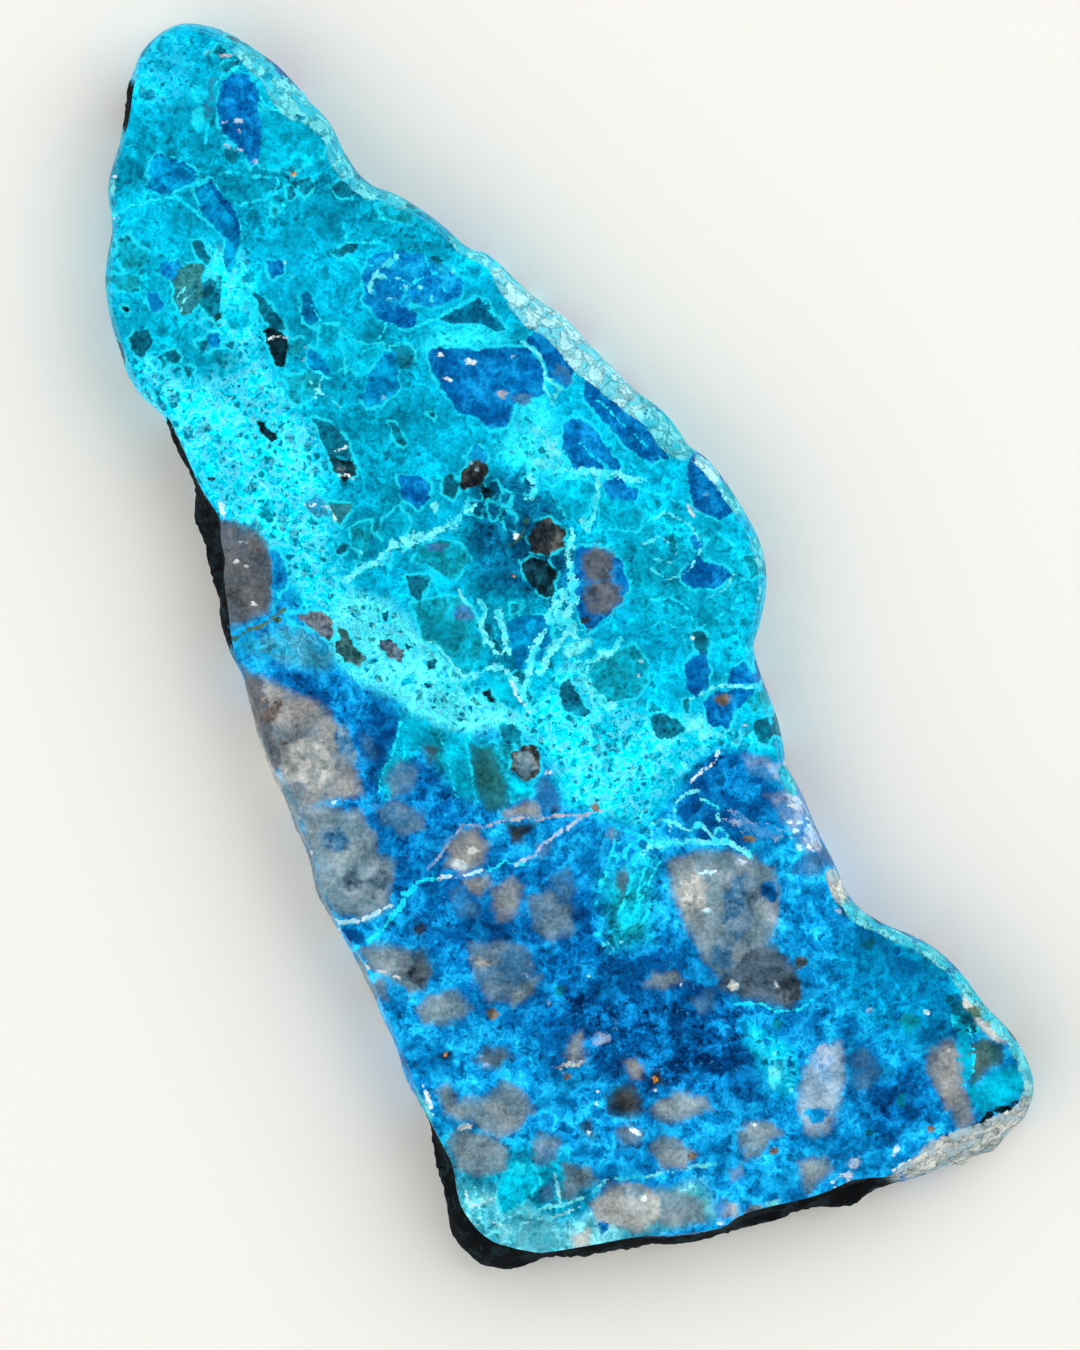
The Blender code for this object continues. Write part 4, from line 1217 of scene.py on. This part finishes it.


# The stone's skin. Where the real edge wasn't ground the ledges are near-black: partly dark broken rock and
# partly painted shade, since that wall lies in its own shade. A pale weathered rind lies in patches along
# the rim and round the foot's right corner, and along the upper right rim its paleness is partly painted
# highlight, where that edge faces the light.

# Rind: colour, then place across and down and radius in millimetres. Along the upper right rim the aqua and
# pale aqua patches are partly pale rind and partly painted highlight, where that edge faces the key light.
# The ledges' near-black: dark rock with the wall's shade painted into it.
LEDGE_ROCK_AND_SHADE_COLOUR = "shaded dark rock"
RIND_AND_HIGHLIGHT_PATCHES = [
    ("aqua", 25.2, 6.2, 3.2), ("aqua", 28.5, 9.8, 4.0), ("aqua", 32.0, 12.9, 2.6),
    ("aqua", 34.0, 16.5, 2.6), ("aqua", 36.5, 19.0, 2.2), ("aqua", 39.5, 20.0, 2.0),
    ("aqua", 47.0, 25.0, 3.4), ("pale aqua", 51.5, 29.2, 4.4), ("pale aqua", 55.2, 32.4, 5.0),
    ("pale aqua", 58.8, 36.0, 5.2), ("pale aqua", 62.8, 39.6, 5.0), ("aqua", 66.5, 43.5, 4.4),
    ("pale aqua", 71.0, 46.9, 2.6), ("aqua", 73.5, 49.5, 2.6), ("aqua", 76.5, 55.0, 2.6),
    ("aqua", 79.0, 78.0, 2.2), ("cream", 83.6, 88.8, 2.6), ("aqua", 85.8, 92.0, 2.8),
    ("aqua", 89.5, 94.0, 2.8), ("aqua", 93.0, 95.8, 2.8), ("aqua", 96.5, 99.0, 3.0),
    ("aqua", 99.5, 102.5, 3.0), ("aqua", 102.0, 106.0, 3.2), ("aqua", 102.8, 109.0, 2.6),
    ("aqua", 10.8, 18.8, 1.4), ("cream", 98.5, 113.5, 7.5), ("cream", 92.5, 116.5, 4.5),
    ("cream", 96.5, 115.5, 5.0), ("aqua", 42.5, 110.5, 2.4),
]
# The ledges' skin, near-black rock with painted shade, begins and is whole where the wall is this much of a
# ledge.
LEDGE_SKIN = (0.45, 0.85)
# How far rind reaches in over the rim, and down the wall for each millimetre of its radius.
RIND_OVER_RIM, RIND_HANG = 0.6, 2.2
# Nothing this near to a flat face's height is wall.
FLAT_WITHIN = 0.01

below = THICKNESS - corners[:, 2]
on_wall = (below > FLAT_WITHIN) & (corners[:, 2] > FLAT_WITHIN)
# Ledges take the near-black skin, which paints the wall's shade into its colour.
skin = np.where(on_wall, np.interp(ledges, LEDGE_SKIN, (0, 1)), 0.0)
skin_shade_and_highlight_colour = np.tile(both(LEDGE_ROCK_AND_SHADE_COLOUR), (len(corners), 1))
for colour, rind_across, rind_down, radius in RIND_AND_HIGHLIGHT_PATCHES:
    away = corners[:, :2] - from_photo(rind_across, rind_down)
    share = np.clip(1.6 * (1 - np.hypot(np.hypot(away[:, 0], away[:, 1]), below / RIND_HANG) / radius), 0, 1)
    share *= np.clip(1 - from_edge / RIND_OVER_RIM, 0, 1)
    skin = np.maximum(skin, share)
    skin_shade_and_highlight_colour += (both(colour) - skin_shade_and_highlight_colour) * np.minimum(1, 2 * share)[:, None]


def keep_value(name, values):
    """Keeps one value for each corner of the slab's mesh, for its materials to read."""
    mesh.attributes.new(name, "FLOAT", "POINT").data.foreach_set("value", values.astype(np.float32))


def keep_colour(name, values):
    """Keeps one colour, or three values, for each corner of the slab's mesh."""
    values = np.column_stack([values, np.ones(len(values))]).astype(np.float32)
    mesh.attributes.new(name, "FLOAT_COLOR", "POINT").data.foreach_set("color", values.ravel())


for name, values in (("froth", froth), ("sugar", sugar), ("skin", skin)):
    keep_value(name, values)
for name, layer in (("clast", clasts), ("vein", veins), ("spot", spots)):
    keep_value(name + "_depth", layer["depth"] * TENTH)
    keep_colour(name + "_finish", layer["finish"] * (TENTH, 1, 1))
for name, colours in (("ground", ground), ("clast", clasts["colour"]), ("vein", veins["colour"]),
                      ("spot", spots["colour"]), ("skin", skin_shade_and_highlight_colour)):
    keep_colour(name + "_main", colours[:, :3])
    keep_colour(name + "_second", colours[:, 3:])


# The stone's finishes. All three show the same pattern: the polished face under a clear gloss, the ground
# and broken edge satin to rough, and the sawn back dull with fine saw marks.

def add(tree, kind, inputs=None, **settings):
    """A new node in the tree. An input that is a socket is wired, and any other value is set."""
    node = tree.nodes.new("ShaderNode" + kind)
    for name, value in settings.items():
        setattr(node, name, value)
    for name, value in (inputs or {}).items():
        if isinstance(value, bpy.types.NodeSocket):
            tree.links.new(value, node.inputs[name])
        else:
            node.inputs[name].default_value = value
    return node


def calc(tree, operation, first, second=0.0, third=0.0):
    """The result of one arithmetic node."""
    return add(tree, "Math", {0: first, 1: second, 2: third}, operation=operation).outputs[0]


def blend(tree, share, under, over):
    """One colour over another, by share."""
    node = add(tree, "Mix", {0: share, 6: under, 7: over}, data_type="RGBA")
    return node.outputs[2]


def step_between(tree, value, low, high):
    """0 where value is under low and 1 where it is over high, with a smooth step between."""
    inputs = {"Value": value, "From Min": low, "From Max": high}
    return add(tree, "MapRange", inputs, interpolation_type="SMOOTHSTEP").outputs[0]


def stored(tree, name, output="Fac"):
    """A value or colour kept on the slab's mesh."""
    return add(tree, "Attribute", attribute_name=name).outputs[output]


def millimetres(tree):
    """The place on the stone in millimetres."""
    place = add(tree, "TexCoord").outputs["Object"]
    return add(tree, "VectorMath", {0: place, "Scale": 1000.0}, operation="SCALE").outputs[0]


def grain(tree, place, size, detail, roughness=0.6):
    """Cloudy noise of that size in millimetres, around one half."""
    inputs = {"Vector": place, "Scale": 1 / size, "Detail": detail, "Roughness": roughness}
    return add(tree, "TexNoise", inputs).outputs[0]


def swing(tree, value, reach):
    """A value between 0 and 1 made to swing by that reach to both sides of nothing."""
    return calc(tree, "MULTIPLY_ADD", value, 2 * reach, -reach)


def rgba(name):
    """A named colour with full alpha."""
    return (*linear(name), 1.0)


def new_group(name, inputs, outputs):
    """An empty shader node group with its named sockets, and its two end nodes."""
    group = bpy.data.node_groups.new(name, "ShaderNodeTree")
    for direction, sockets in (("INPUT", inputs), ("OUTPUT", outputs)):
        for socket, kind in sockets:
            group.interface.new_socket(socket, in_out=direction, socket_type="NodeSocket" + kind)
    return group, group.nodes.new("NodeGroupInput").outputs, group.nodes.new("NodeGroupOutput").inputs


def mottle_group():
    """Patches a main colour with a second one, then pales or deepens it as tone goes from -1 to 1."""
    group, given, out = new_group(
        "mottle",
        [("Main", "Color"), ("Second", "Color"), ("Patches", "Float"), ("Tone", "Float"),
         ("Contrast", "Float")],
        [("Color", "Color")],
    )
    patched = blend(group, given["Patches"], given["Main"], given["Second"])
    tone = calc(group, "MULTIPLY", given["Tone"], given["Contrast"])
    tone = calc(group, "MINIMUM", calc(group, "MAXIMUM", tone, -1.2), 1.2)
    bend = calc(group, "MULTIPLY_ADD", tone, -0.12, 1.0)
    gain = calc(group, "MULTIPLY_ADD", tone, 0.55, 1.0)
    bent = add(group, "Gamma", {"Color": patched, "Gamma": bend}).outputs[0]
    shaded = add(group, "VectorMath", {0: bent, "Scale": gain}, operation="SCALE").outputs[0]
    group.links.new(shaded, out["Color"])
    return group


def ragged_edge_group():
    """Turns a kept depth into a mask whose edge is ragged at the scale of the stone's grain."""
    group, given, out = new_group(
        "ragged_edge",
        [("Depth", "Float"), ("Softness", "Float"), ("Ragged", "Float"), ("Grain Size", "Float")],
        [("Mask", "Float"), ("Line", "Float")],
    )
    place = millimetres(group)
    scale = calc(group, "DIVIDE", 1.0, given["Grain Size"])
    cloud = add(group, "TexNoise", {"Vector": place, "Scale": scale, "Detail": 4.0, "Roughness": 0.65})
    push = calc(group, "MULTIPLY", calc(group, "SUBTRACT", cloud.outputs[0], 0.5), given["Ragged"])
    depth = calc(group, "ADD", given["Depth"], push)
    outside = calc(group, "MULTIPLY", given["Softness"], -1.0)
    group.links.new(step_between(group, depth, outside, given["Softness"]), out["Mask"])
    ring = calc(group, "ABSOLUTE", calc(group, "ADD", depth, 0.12))
    group.links.new(step_between(group, ring, 0.26, 0.04), out["Line"])
    return group


mottle = mottle_group()
ragged_edge = ragged_edge_group()


def use(tree, group, inputs):
    """A group placed in the tree, with its inputs set or wired."""
    node = tree.nodes.new("ShaderNodeGroup")
    node.node_tree = group
    for name, value in inputs.items():
        if isinstance(value, bpy.types.NodeSocket):
            tree.links.new(value, node.inputs[name])
        else:
            node.inputs[name].default_value = value
    return node.outputs


def warped(tree, place, reach, size):
    """The place shifted about by up to reach, so that noise read there curls and folds."""
    cloud = add(tree, "TexNoise", {"Vector": place, "Scale": 1 / size, "Detail": 3.0}).outputs[1]
    centred = add(tree, "VectorMath", {0: cloud, 1: (0.5, 0.5, 0.5)}, operation="SUBTRACT").outputs[0]
    shift = add(tree, "VectorMath", {0: centred, "Scale": 2 * reach}, operation="SCALE").outputs[0]
    return add(tree, "VectorMath", {0: place, 1: shift}, operation="ADD").outputs[0]


def threads(tree, cloud, width):
    """Thin curly lines where a cloud of noise passes through its middle value."""
    away = calc(tree, "ABSOLUTE", calc(tree, "SUBTRACT", cloud, 0.5))
    return step_between(tree, away, width, width * 0.25)


def foam(tree, place, size, width):
    """The walls of foam-like cells of that size."""
    inputs = {"Vector": place, "Scale": 1 / size, "Randomness": 1.0}
    walls = add(tree, "TexVoronoi", inputs, feature="DISTANCE_TO_EDGE").outputs[0]
    return step_between(tree, walls, width, width * 0.3)


def bubbles(tree, place, size, wall, reach, filled):
    """Bubbles of that size: how much each place is their wall, and how much it is an open pit."""
    inputs = {"Vector": place, "Scale": 1 / size, "Randomness": 1.0}
    edge = add(tree, "TexVoronoi", inputs, feature="DISTANCE_TO_EDGE").outputs[0]
    chance = add(tree, "TexVoronoi", inputs, feature="F1").outputs["Color"]
    chance = add(tree, "SeparateColor", {0: chance}).outputs[0]
    is_open = step_between(tree, chance, filled, filled + 0.4)
    pit = calc(tree, "MULTIPLY", step_between(tree, edge, wall, reach), is_open)
    return step_between(tree, edge, wall * 1.2, wall * 0.4), pit


def stone_pattern_group():
    """The whole pattern: froth, net, clasts, veins and spots over the ground, then the skin: weathered rind,
    and near-black ledges with painted shade.
    """
    outputs = [("Color", "Color"), ("Grain", "Float"), ("Skin", "Float")]
    group, _, out = new_group("stone_pattern", [], outputs)
    place = millimetres(group)
    curled = warped(group, place, 0.9, 1.6)
    wide = grain(group, place, 5.0, 4.0)
    patchy = grain(group, curled, 1.7, 3.0)
    curd = grain(group, curled, 0.8, 3.0)
    fine = grain(group, place, 0.35, 2.0)
    froth_here = stored(group, "froth")
    lively = step_between(group, wide, 0.38, 0.58)

    # Bubbles of two sizes between crisp walls: dark pits in froth, and a faint grain elsewhere.
    bent = warped(group, place, 0.35, 0.7)
    big_walls, big_pits = bubbles(group, bent, 1.5, 0.09, 0.22, 0.3)
    small_walls, small_pits = bubbles(group, bent, 0.7, 0.14, 0.3, 0.35)
    pits = calc(group, "MAXIMUM", calc(group, "MULTIPLY", big_pits, lively), small_pits)
    walls = calc(group, "MAXIMUM", big_walls, calc(group, "MULTIPLY", small_walls, 0.6))

    # Patches are wide in smooth stone and small in froth.
    wide_patches = step_between(group, patchy, 0.44, 0.60)
    small_patches = step_between(group, curd, 0.44, 0.56)
    patches = add(group, "Mix", {0: froth_here, 2: wide_patches, 3: small_patches}).outputs[0]
    soft_patches = step_between(group, grain(group, place, 2.4, 4.0, 0.55), 0.36, 0.66)

    # Crisp tone is pitted and lively in places, and cloudy tone is soft with a fine speckle.
    curdled = swing(group, step_between(group, curd, 0.34, 0.66), 1.0)
    crisp = calc(group, "MULTIPLY_ADD", curdled, 0.34, swing(group, wide, 1.5))
    sugar_here = stored(group, "sugar")
    amount = calc(group, "MULTIPLY_ADD", lively, 0.4, calc(group, "MULTIPLY_ADD", sugar_here, 0.8, 0.12))
    amount = calc(group, "ADD", froth_here, amount)
    crisp = calc(group, "MULTIPLY_ADD", calc(group, "MULTIPLY_ADD", pits, -1.45, 0.4), amount, crisp)
    crisp = calc(group, "ADD", crisp, swing(group, fine, 0.8))
    wisps = threads(group, grain(group, curled, 0.55, 2.0), 0.06)
    crisp = calc(group, "MULTIPLY_ADD", calc(group, "MULTIPLY_ADD", wisps, 0.9, -0.3), froth_here, crisp)
    crisp = calc(group, "MULTIPLY_ADD", swing(group, patchy, 5.0), sugar_here, crisp)
    cloudy = calc(group, "ADD", swing(group, patchy, 1.3), swing(group, wide, 1.8))
    cloudy = calc(group, "ADD", cloudy, swing(group, grain(group, place, 0.45, 4.0, 0.75), 1.8))

    def coloured(name, contrast, tone=crisp, chosen=patches):
        """The two colours kept on the mesh under that name, mottled."""
        inputs = {"Main": stored(group, name + "_main", "Color"), "Tone": tone, "Contrast": contrast}
        inputs["Second"] = stored(group, name + "_second", "Color")
        inputs["Patches"] = chosen
        return use(group, mottle, inputs)["Color"]

    def toned(under, tone, contrast=1.0):
        """One colour, made paler or deeper."""
        inputs = {"Main": under, "Second": under, "Patches": 0.0, "Tone": tone, "Contrast": contrast}
        return use(group, mottle, inputs)["Color"]

    colour = coloured("ground", 0.95)

    # Bright walls in the froth, and a broken net of brighter threads everywhere.
    is_froth = step_between(group, froth_here, 0.3, 1.0)
    lace = calc(group, "MULTIPLY", calc(group, "MULTIPLY", walls, is_froth), small_patches)
    colour = blend(group, calc(group, "MULTIPLY", lace, 0.55), colour, rgba("pale cyan"))
    cells = foam(group, curled, 2.6, 0.05)
    net = calc(group, "MAXIMUM", cells, threads(group, curd, 0.04))
    net = calc(group, "MULTIPLY", net, calc(group, "MULTIPLY", lively, 0.6))
    colour = blend(group, net, colour, toned(colour, 1.2))

    # Paler sugar specks in the azure ground.
    specks = step_between(group, grain(group, place, 0.55, 3.0, 0.7), 0.62, 0.70)
    specks = calc(group, "MULTIPLY", specks, sugar_here)
    colour = blend(group, specks, colour, rgba("crystal blue"))

    # Clasts, with their bright outline in the upper part.
    finish = add(group, "SeparateColor", {0: stored(group, "clast_finish", "Color")}).outputs
    inputs = {"Depth": stored(group, "clast_depth"), "Softness": finish[0]}
    inputs["Grain Size"] = calc(group, "MULTIPLY_ADD", finish[0], 2.5, 0.7)
    inputs["Ragged"] = calc(group, "MULTIPLY_ADD", finish[0], 2.2, 0.9)
    edge = use(group, ragged_edge, inputs)
    is_soft = step_between(group, finish[0], 0.12, 0.35)
    calmness = calc(group, "MULTIPLY_ADD", is_soft, 0.5, 0.5)
    tone = add(group, "Mix", {0: calmness, 2: crisp, 3: cloudy}).outputs[0]
    chosen = add(group, "Mix", {0: is_soft, 2: wide_patches, 3: soft_patches}).outputs[0]
    inside = coloured("clast", finish[2], tone, chosen)
    stain = calc(group, "MULTIPLY", step_between(group, stored(group, "clast_depth"), 1.0, -0.3), is_soft)
    inside = blend(group, calc(group, "MULTIPLY", stain, 0.55), inside, toned(colour, -0.7))
    glints = calc(group, "MULTIPLY", walls, calc(group, "SUBTRACT", 1.0, is_soft))
    inside = blend(group, calc(group, "MULTIPLY", glints, 0.45), inside, toned(inside, 1.0, 1.2))
    colour = blend(group, edge["Mask"], colour, inside)
    broken = step_between(group, patchy, 0.40, 0.56)
    trim = calc(group, "MULTIPLY", calc(group, "MULTIPLY", edge["Line"], finish[1]), broken)
    colour = blend(group, trim, colour, rgba("bright cyan"))

    # Veins, then spots, over everything.
    for name in ("vein", "spot"):
        finish = add(group, "SeparateColor", {0: stored(group, name + "_finish", "Color")}).outputs
        thinned = calc(group, "MULTIPLY", step_between(group, patchy, 0.50, 0.36), -0.06)
        depth = calc(group, "ADD", stored(group, name + "_depth"), thinned)
        inputs = {"Depth": depth, "Softness": finish[0]}
        frayed = calc(group, "MULTIPLY_ADD", finish[1], 12.0, 0.6)
        inputs["Ragged"] = calc(group, "MULTIPLY_ADD", finish[0], 4.0, frayed)
        inputs["Grain Size"] = calc(group, "MULTIPLY_ADD", finish[0], 2.0, 0.5)
        edge = use(group, ragged_edge, inputs)
        colour = blend(group, edge["Mask"], colour, coloured(name, finish[2]))

    # The skin of the unpolished edge, with dark cracks: weathered rind, and near-black ledges with painted
    # shade.
    cracks = calc(group, "MAXIMUM", threads(group, patchy, 0.035), cells)
    eaten = calc(group, "MULTIPLY_ADD", pits, -0.35, calc(group, "MULTIPLY_ADD", patchy, 1.2, -0.5))
    skin_here = calc(group, "ADD", stored(group, "skin"), eaten)
    skin_shade_and_highlight_mask = step_between(group, skin_here, 0.4, 0.6)
    cracked = calc(group, "MULTIPLY_ADD", cracks, -1.4, crisp)
    colour = blend(group, skin_shade_and_highlight_mask, colour, coloured("skin", 0.55, cracked))
    group.links.new(colour, out["Color"])
    group.links.new(fine, out["Grain"])
    group.links.new(skin_shade_and_highlight_mask, out["Skin"])
    return group


stone_pattern = stone_pattern_group()


def stone_material(name, roughness, skin_roughness, relief_depth, reflection, coat=0.0, saw_marks=0.0):
    """The stone with one finish: how rough it is, how deep its grain and saw marks are, and its gloss."""
    material = bpy.data.materials.new(name)
    material.use_nodes = True
    tree = material.node_tree
    surface = tree.nodes["Principled BSDF"]
    pattern = use(tree, stone_pattern, {})
    tree.links.new(pattern["Color"], surface.inputs["Base Color"])
    uneven = calc(tree, "MULTIPLY_ADD", pattern["Grain"], 0.1, roughness - 0.05)
    rough = calc(tree, "MULTIPLY_ADD", pattern["Skin"], skin_roughness, uneven)
    tree.links.new(rough, surface.inputs["Roughness"])
    height = pattern["Grain"]
    if saw_marks:
        inputs = {"Vector": millimetres(tree), "Scale": 0.35, "Distortion": 1.5, "Detail": 2.0}
        saw_lines = add(tree, "TexWave", inputs, bands_direction="Y").outputs["Fac"]
        height = calc(tree, "MULTIPLY_ADD", saw_lines, saw_marks, height)
    bump = add(tree, "Bump", {"Height": height, "Strength": 0.4, "Distance": relief_depth * MM})
    tree.links.new(bump.outputs[0], surface.inputs["Normal"])
    surface.inputs["Coat Weight"].default_value = coat
    surface.inputs["Coat Roughness"].default_value = 0.04
    surface.inputs["IOR"].default_value = 1.5
    surface.inputs["Specular IOR Level"].default_value = reflection
    mesh.materials.append(material)


stone_material(
    "polished_silica", roughness=0.16, skin_roughness=0.4, relief_depth=0.01, reflection=0.2, coat=0.5
)
stone_material("ground_edge", roughness=0.42, skin_roughness=0.45, relief_depth=0.25, reflection=0.1)
stone_material(
    "sawn_back", roughness=0.6, skin_roughness=0.2, relief_depth=0.1, reflection=0.3, saw_marks=0.6
)
mesh.polygons.foreach_set("material_index", np.array(face_finish, np.int32))


# The floor. It is a plain sheet of pale matt paper that the slab lies on, wide enough that no view sees
# its edge, and it isn't part of the object.

FLOOR_SIZE = 6.0
FLOOR_DROP = 0.0002
floor_mesh = bpy.data.meshes.new("floor")
half = FLOOR_SIZE / 2
floor_corners = [(-half, -half, 0), (half, -half, 0), (half, half, 0), (-half, half, 0)]
floor_mesh.from_pydata(floor_corners, [], [(0, 1, 2, 3)])
floor = bpy.data.objects.new("floor", floor_mesh)
bpy.context.scene.collection.objects.link(floor)
floor.location.z = -FLOOR_DROP
paper = bpy.data.materials.new("pale_paper")
paper.use_nodes = True
paper_surface = paper.node_tree.nodes["Principled BSDF"]
paper_surface.inputs["Base Color"].default_value = (0.875, 0.86, 0.81, 1.0)
paper_surface.inputs["Roughness"].default_value = 0.95
paper_surface.inputs["Specular IOR Level"].default_value = 0.0
floor_mesh.materials.append(paper)


# Soft studio light. A big softbox stands at the upper right and a weaker one at the left, both low enough
# that the polished face mirrors neither to the camera, under a room that is dark overhead.

# Name, place and size in metres, and power in watts.
SOFTBOXES = [
    ("key_softbox", (0.62, 0.50, 0.80), 1.2, 7.0),
    ("fill_softbox", (-0.75, -0.35, 0.70), 1.4, 5.5),
]
ROOM_OVERHEAD = 0.04
ROOM_HORIZON = 1.0
ROOM_STRENGTH = 0.86

for name, place, size, power in SOFTBOXES:
    lamp = bpy.data.lights.new(name, "AREA")
    lamp.size = size
    lamp.energy = power
    softbox = bpy.data.objects.new(name, lamp)
    softbox.location = place
    softbox.rotation_euler = Vector(place).to_track_quat("Z", "Y").to_euler()
    bpy.context.scene.collection.objects.link(softbox)

room = bpy.data.worlds.new("studio_room")
room.use_nodes = True
bpy.context.scene.world = room
tree = room.node_tree
direction = add(tree, "TexCoord").outputs["Generated"]
upward = add(tree, "SeparateXYZ", {0: direction}).outputs["Z"]
overhead = step_between(tree, upward, 0.70, 0.96)
shade = blend(tree, overhead, (ROOM_HORIZON,) * 3 + (1.0,), (ROOM_OVERHEAD,) * 3 + (1.0,))
tree.links.new(shade, tree.nodes["Background"].inputs["Color"])
tree.nodes["Background"].inputs["Strength"].default_value = ROOM_STRENGTH
bpy.context.scene.view_settings.view_transform = "Standard"


# The camera. It looks straight down from over the middle of the picture through a long lens, as the
# photograph does, so that the slab's side hardly shows.

SENSOR = 36.0
LENS = 200.0
camera = bpy.data.objects.new("camera", bpy.data.cameras.new("camera"))
bpy.context.scene.collection.objects.link(camera)
over = from_photo(*EYE_PLACE)
camera.location = (over.x * MM, over.y * MM, (THICKNESS + EYE_HEIGHT) * MM)
camera.data.sensor_width = SENSOR
camera.data.lens = LENS
camera.data.clip_start = 0.01
bpy.context.scene.camera = camera
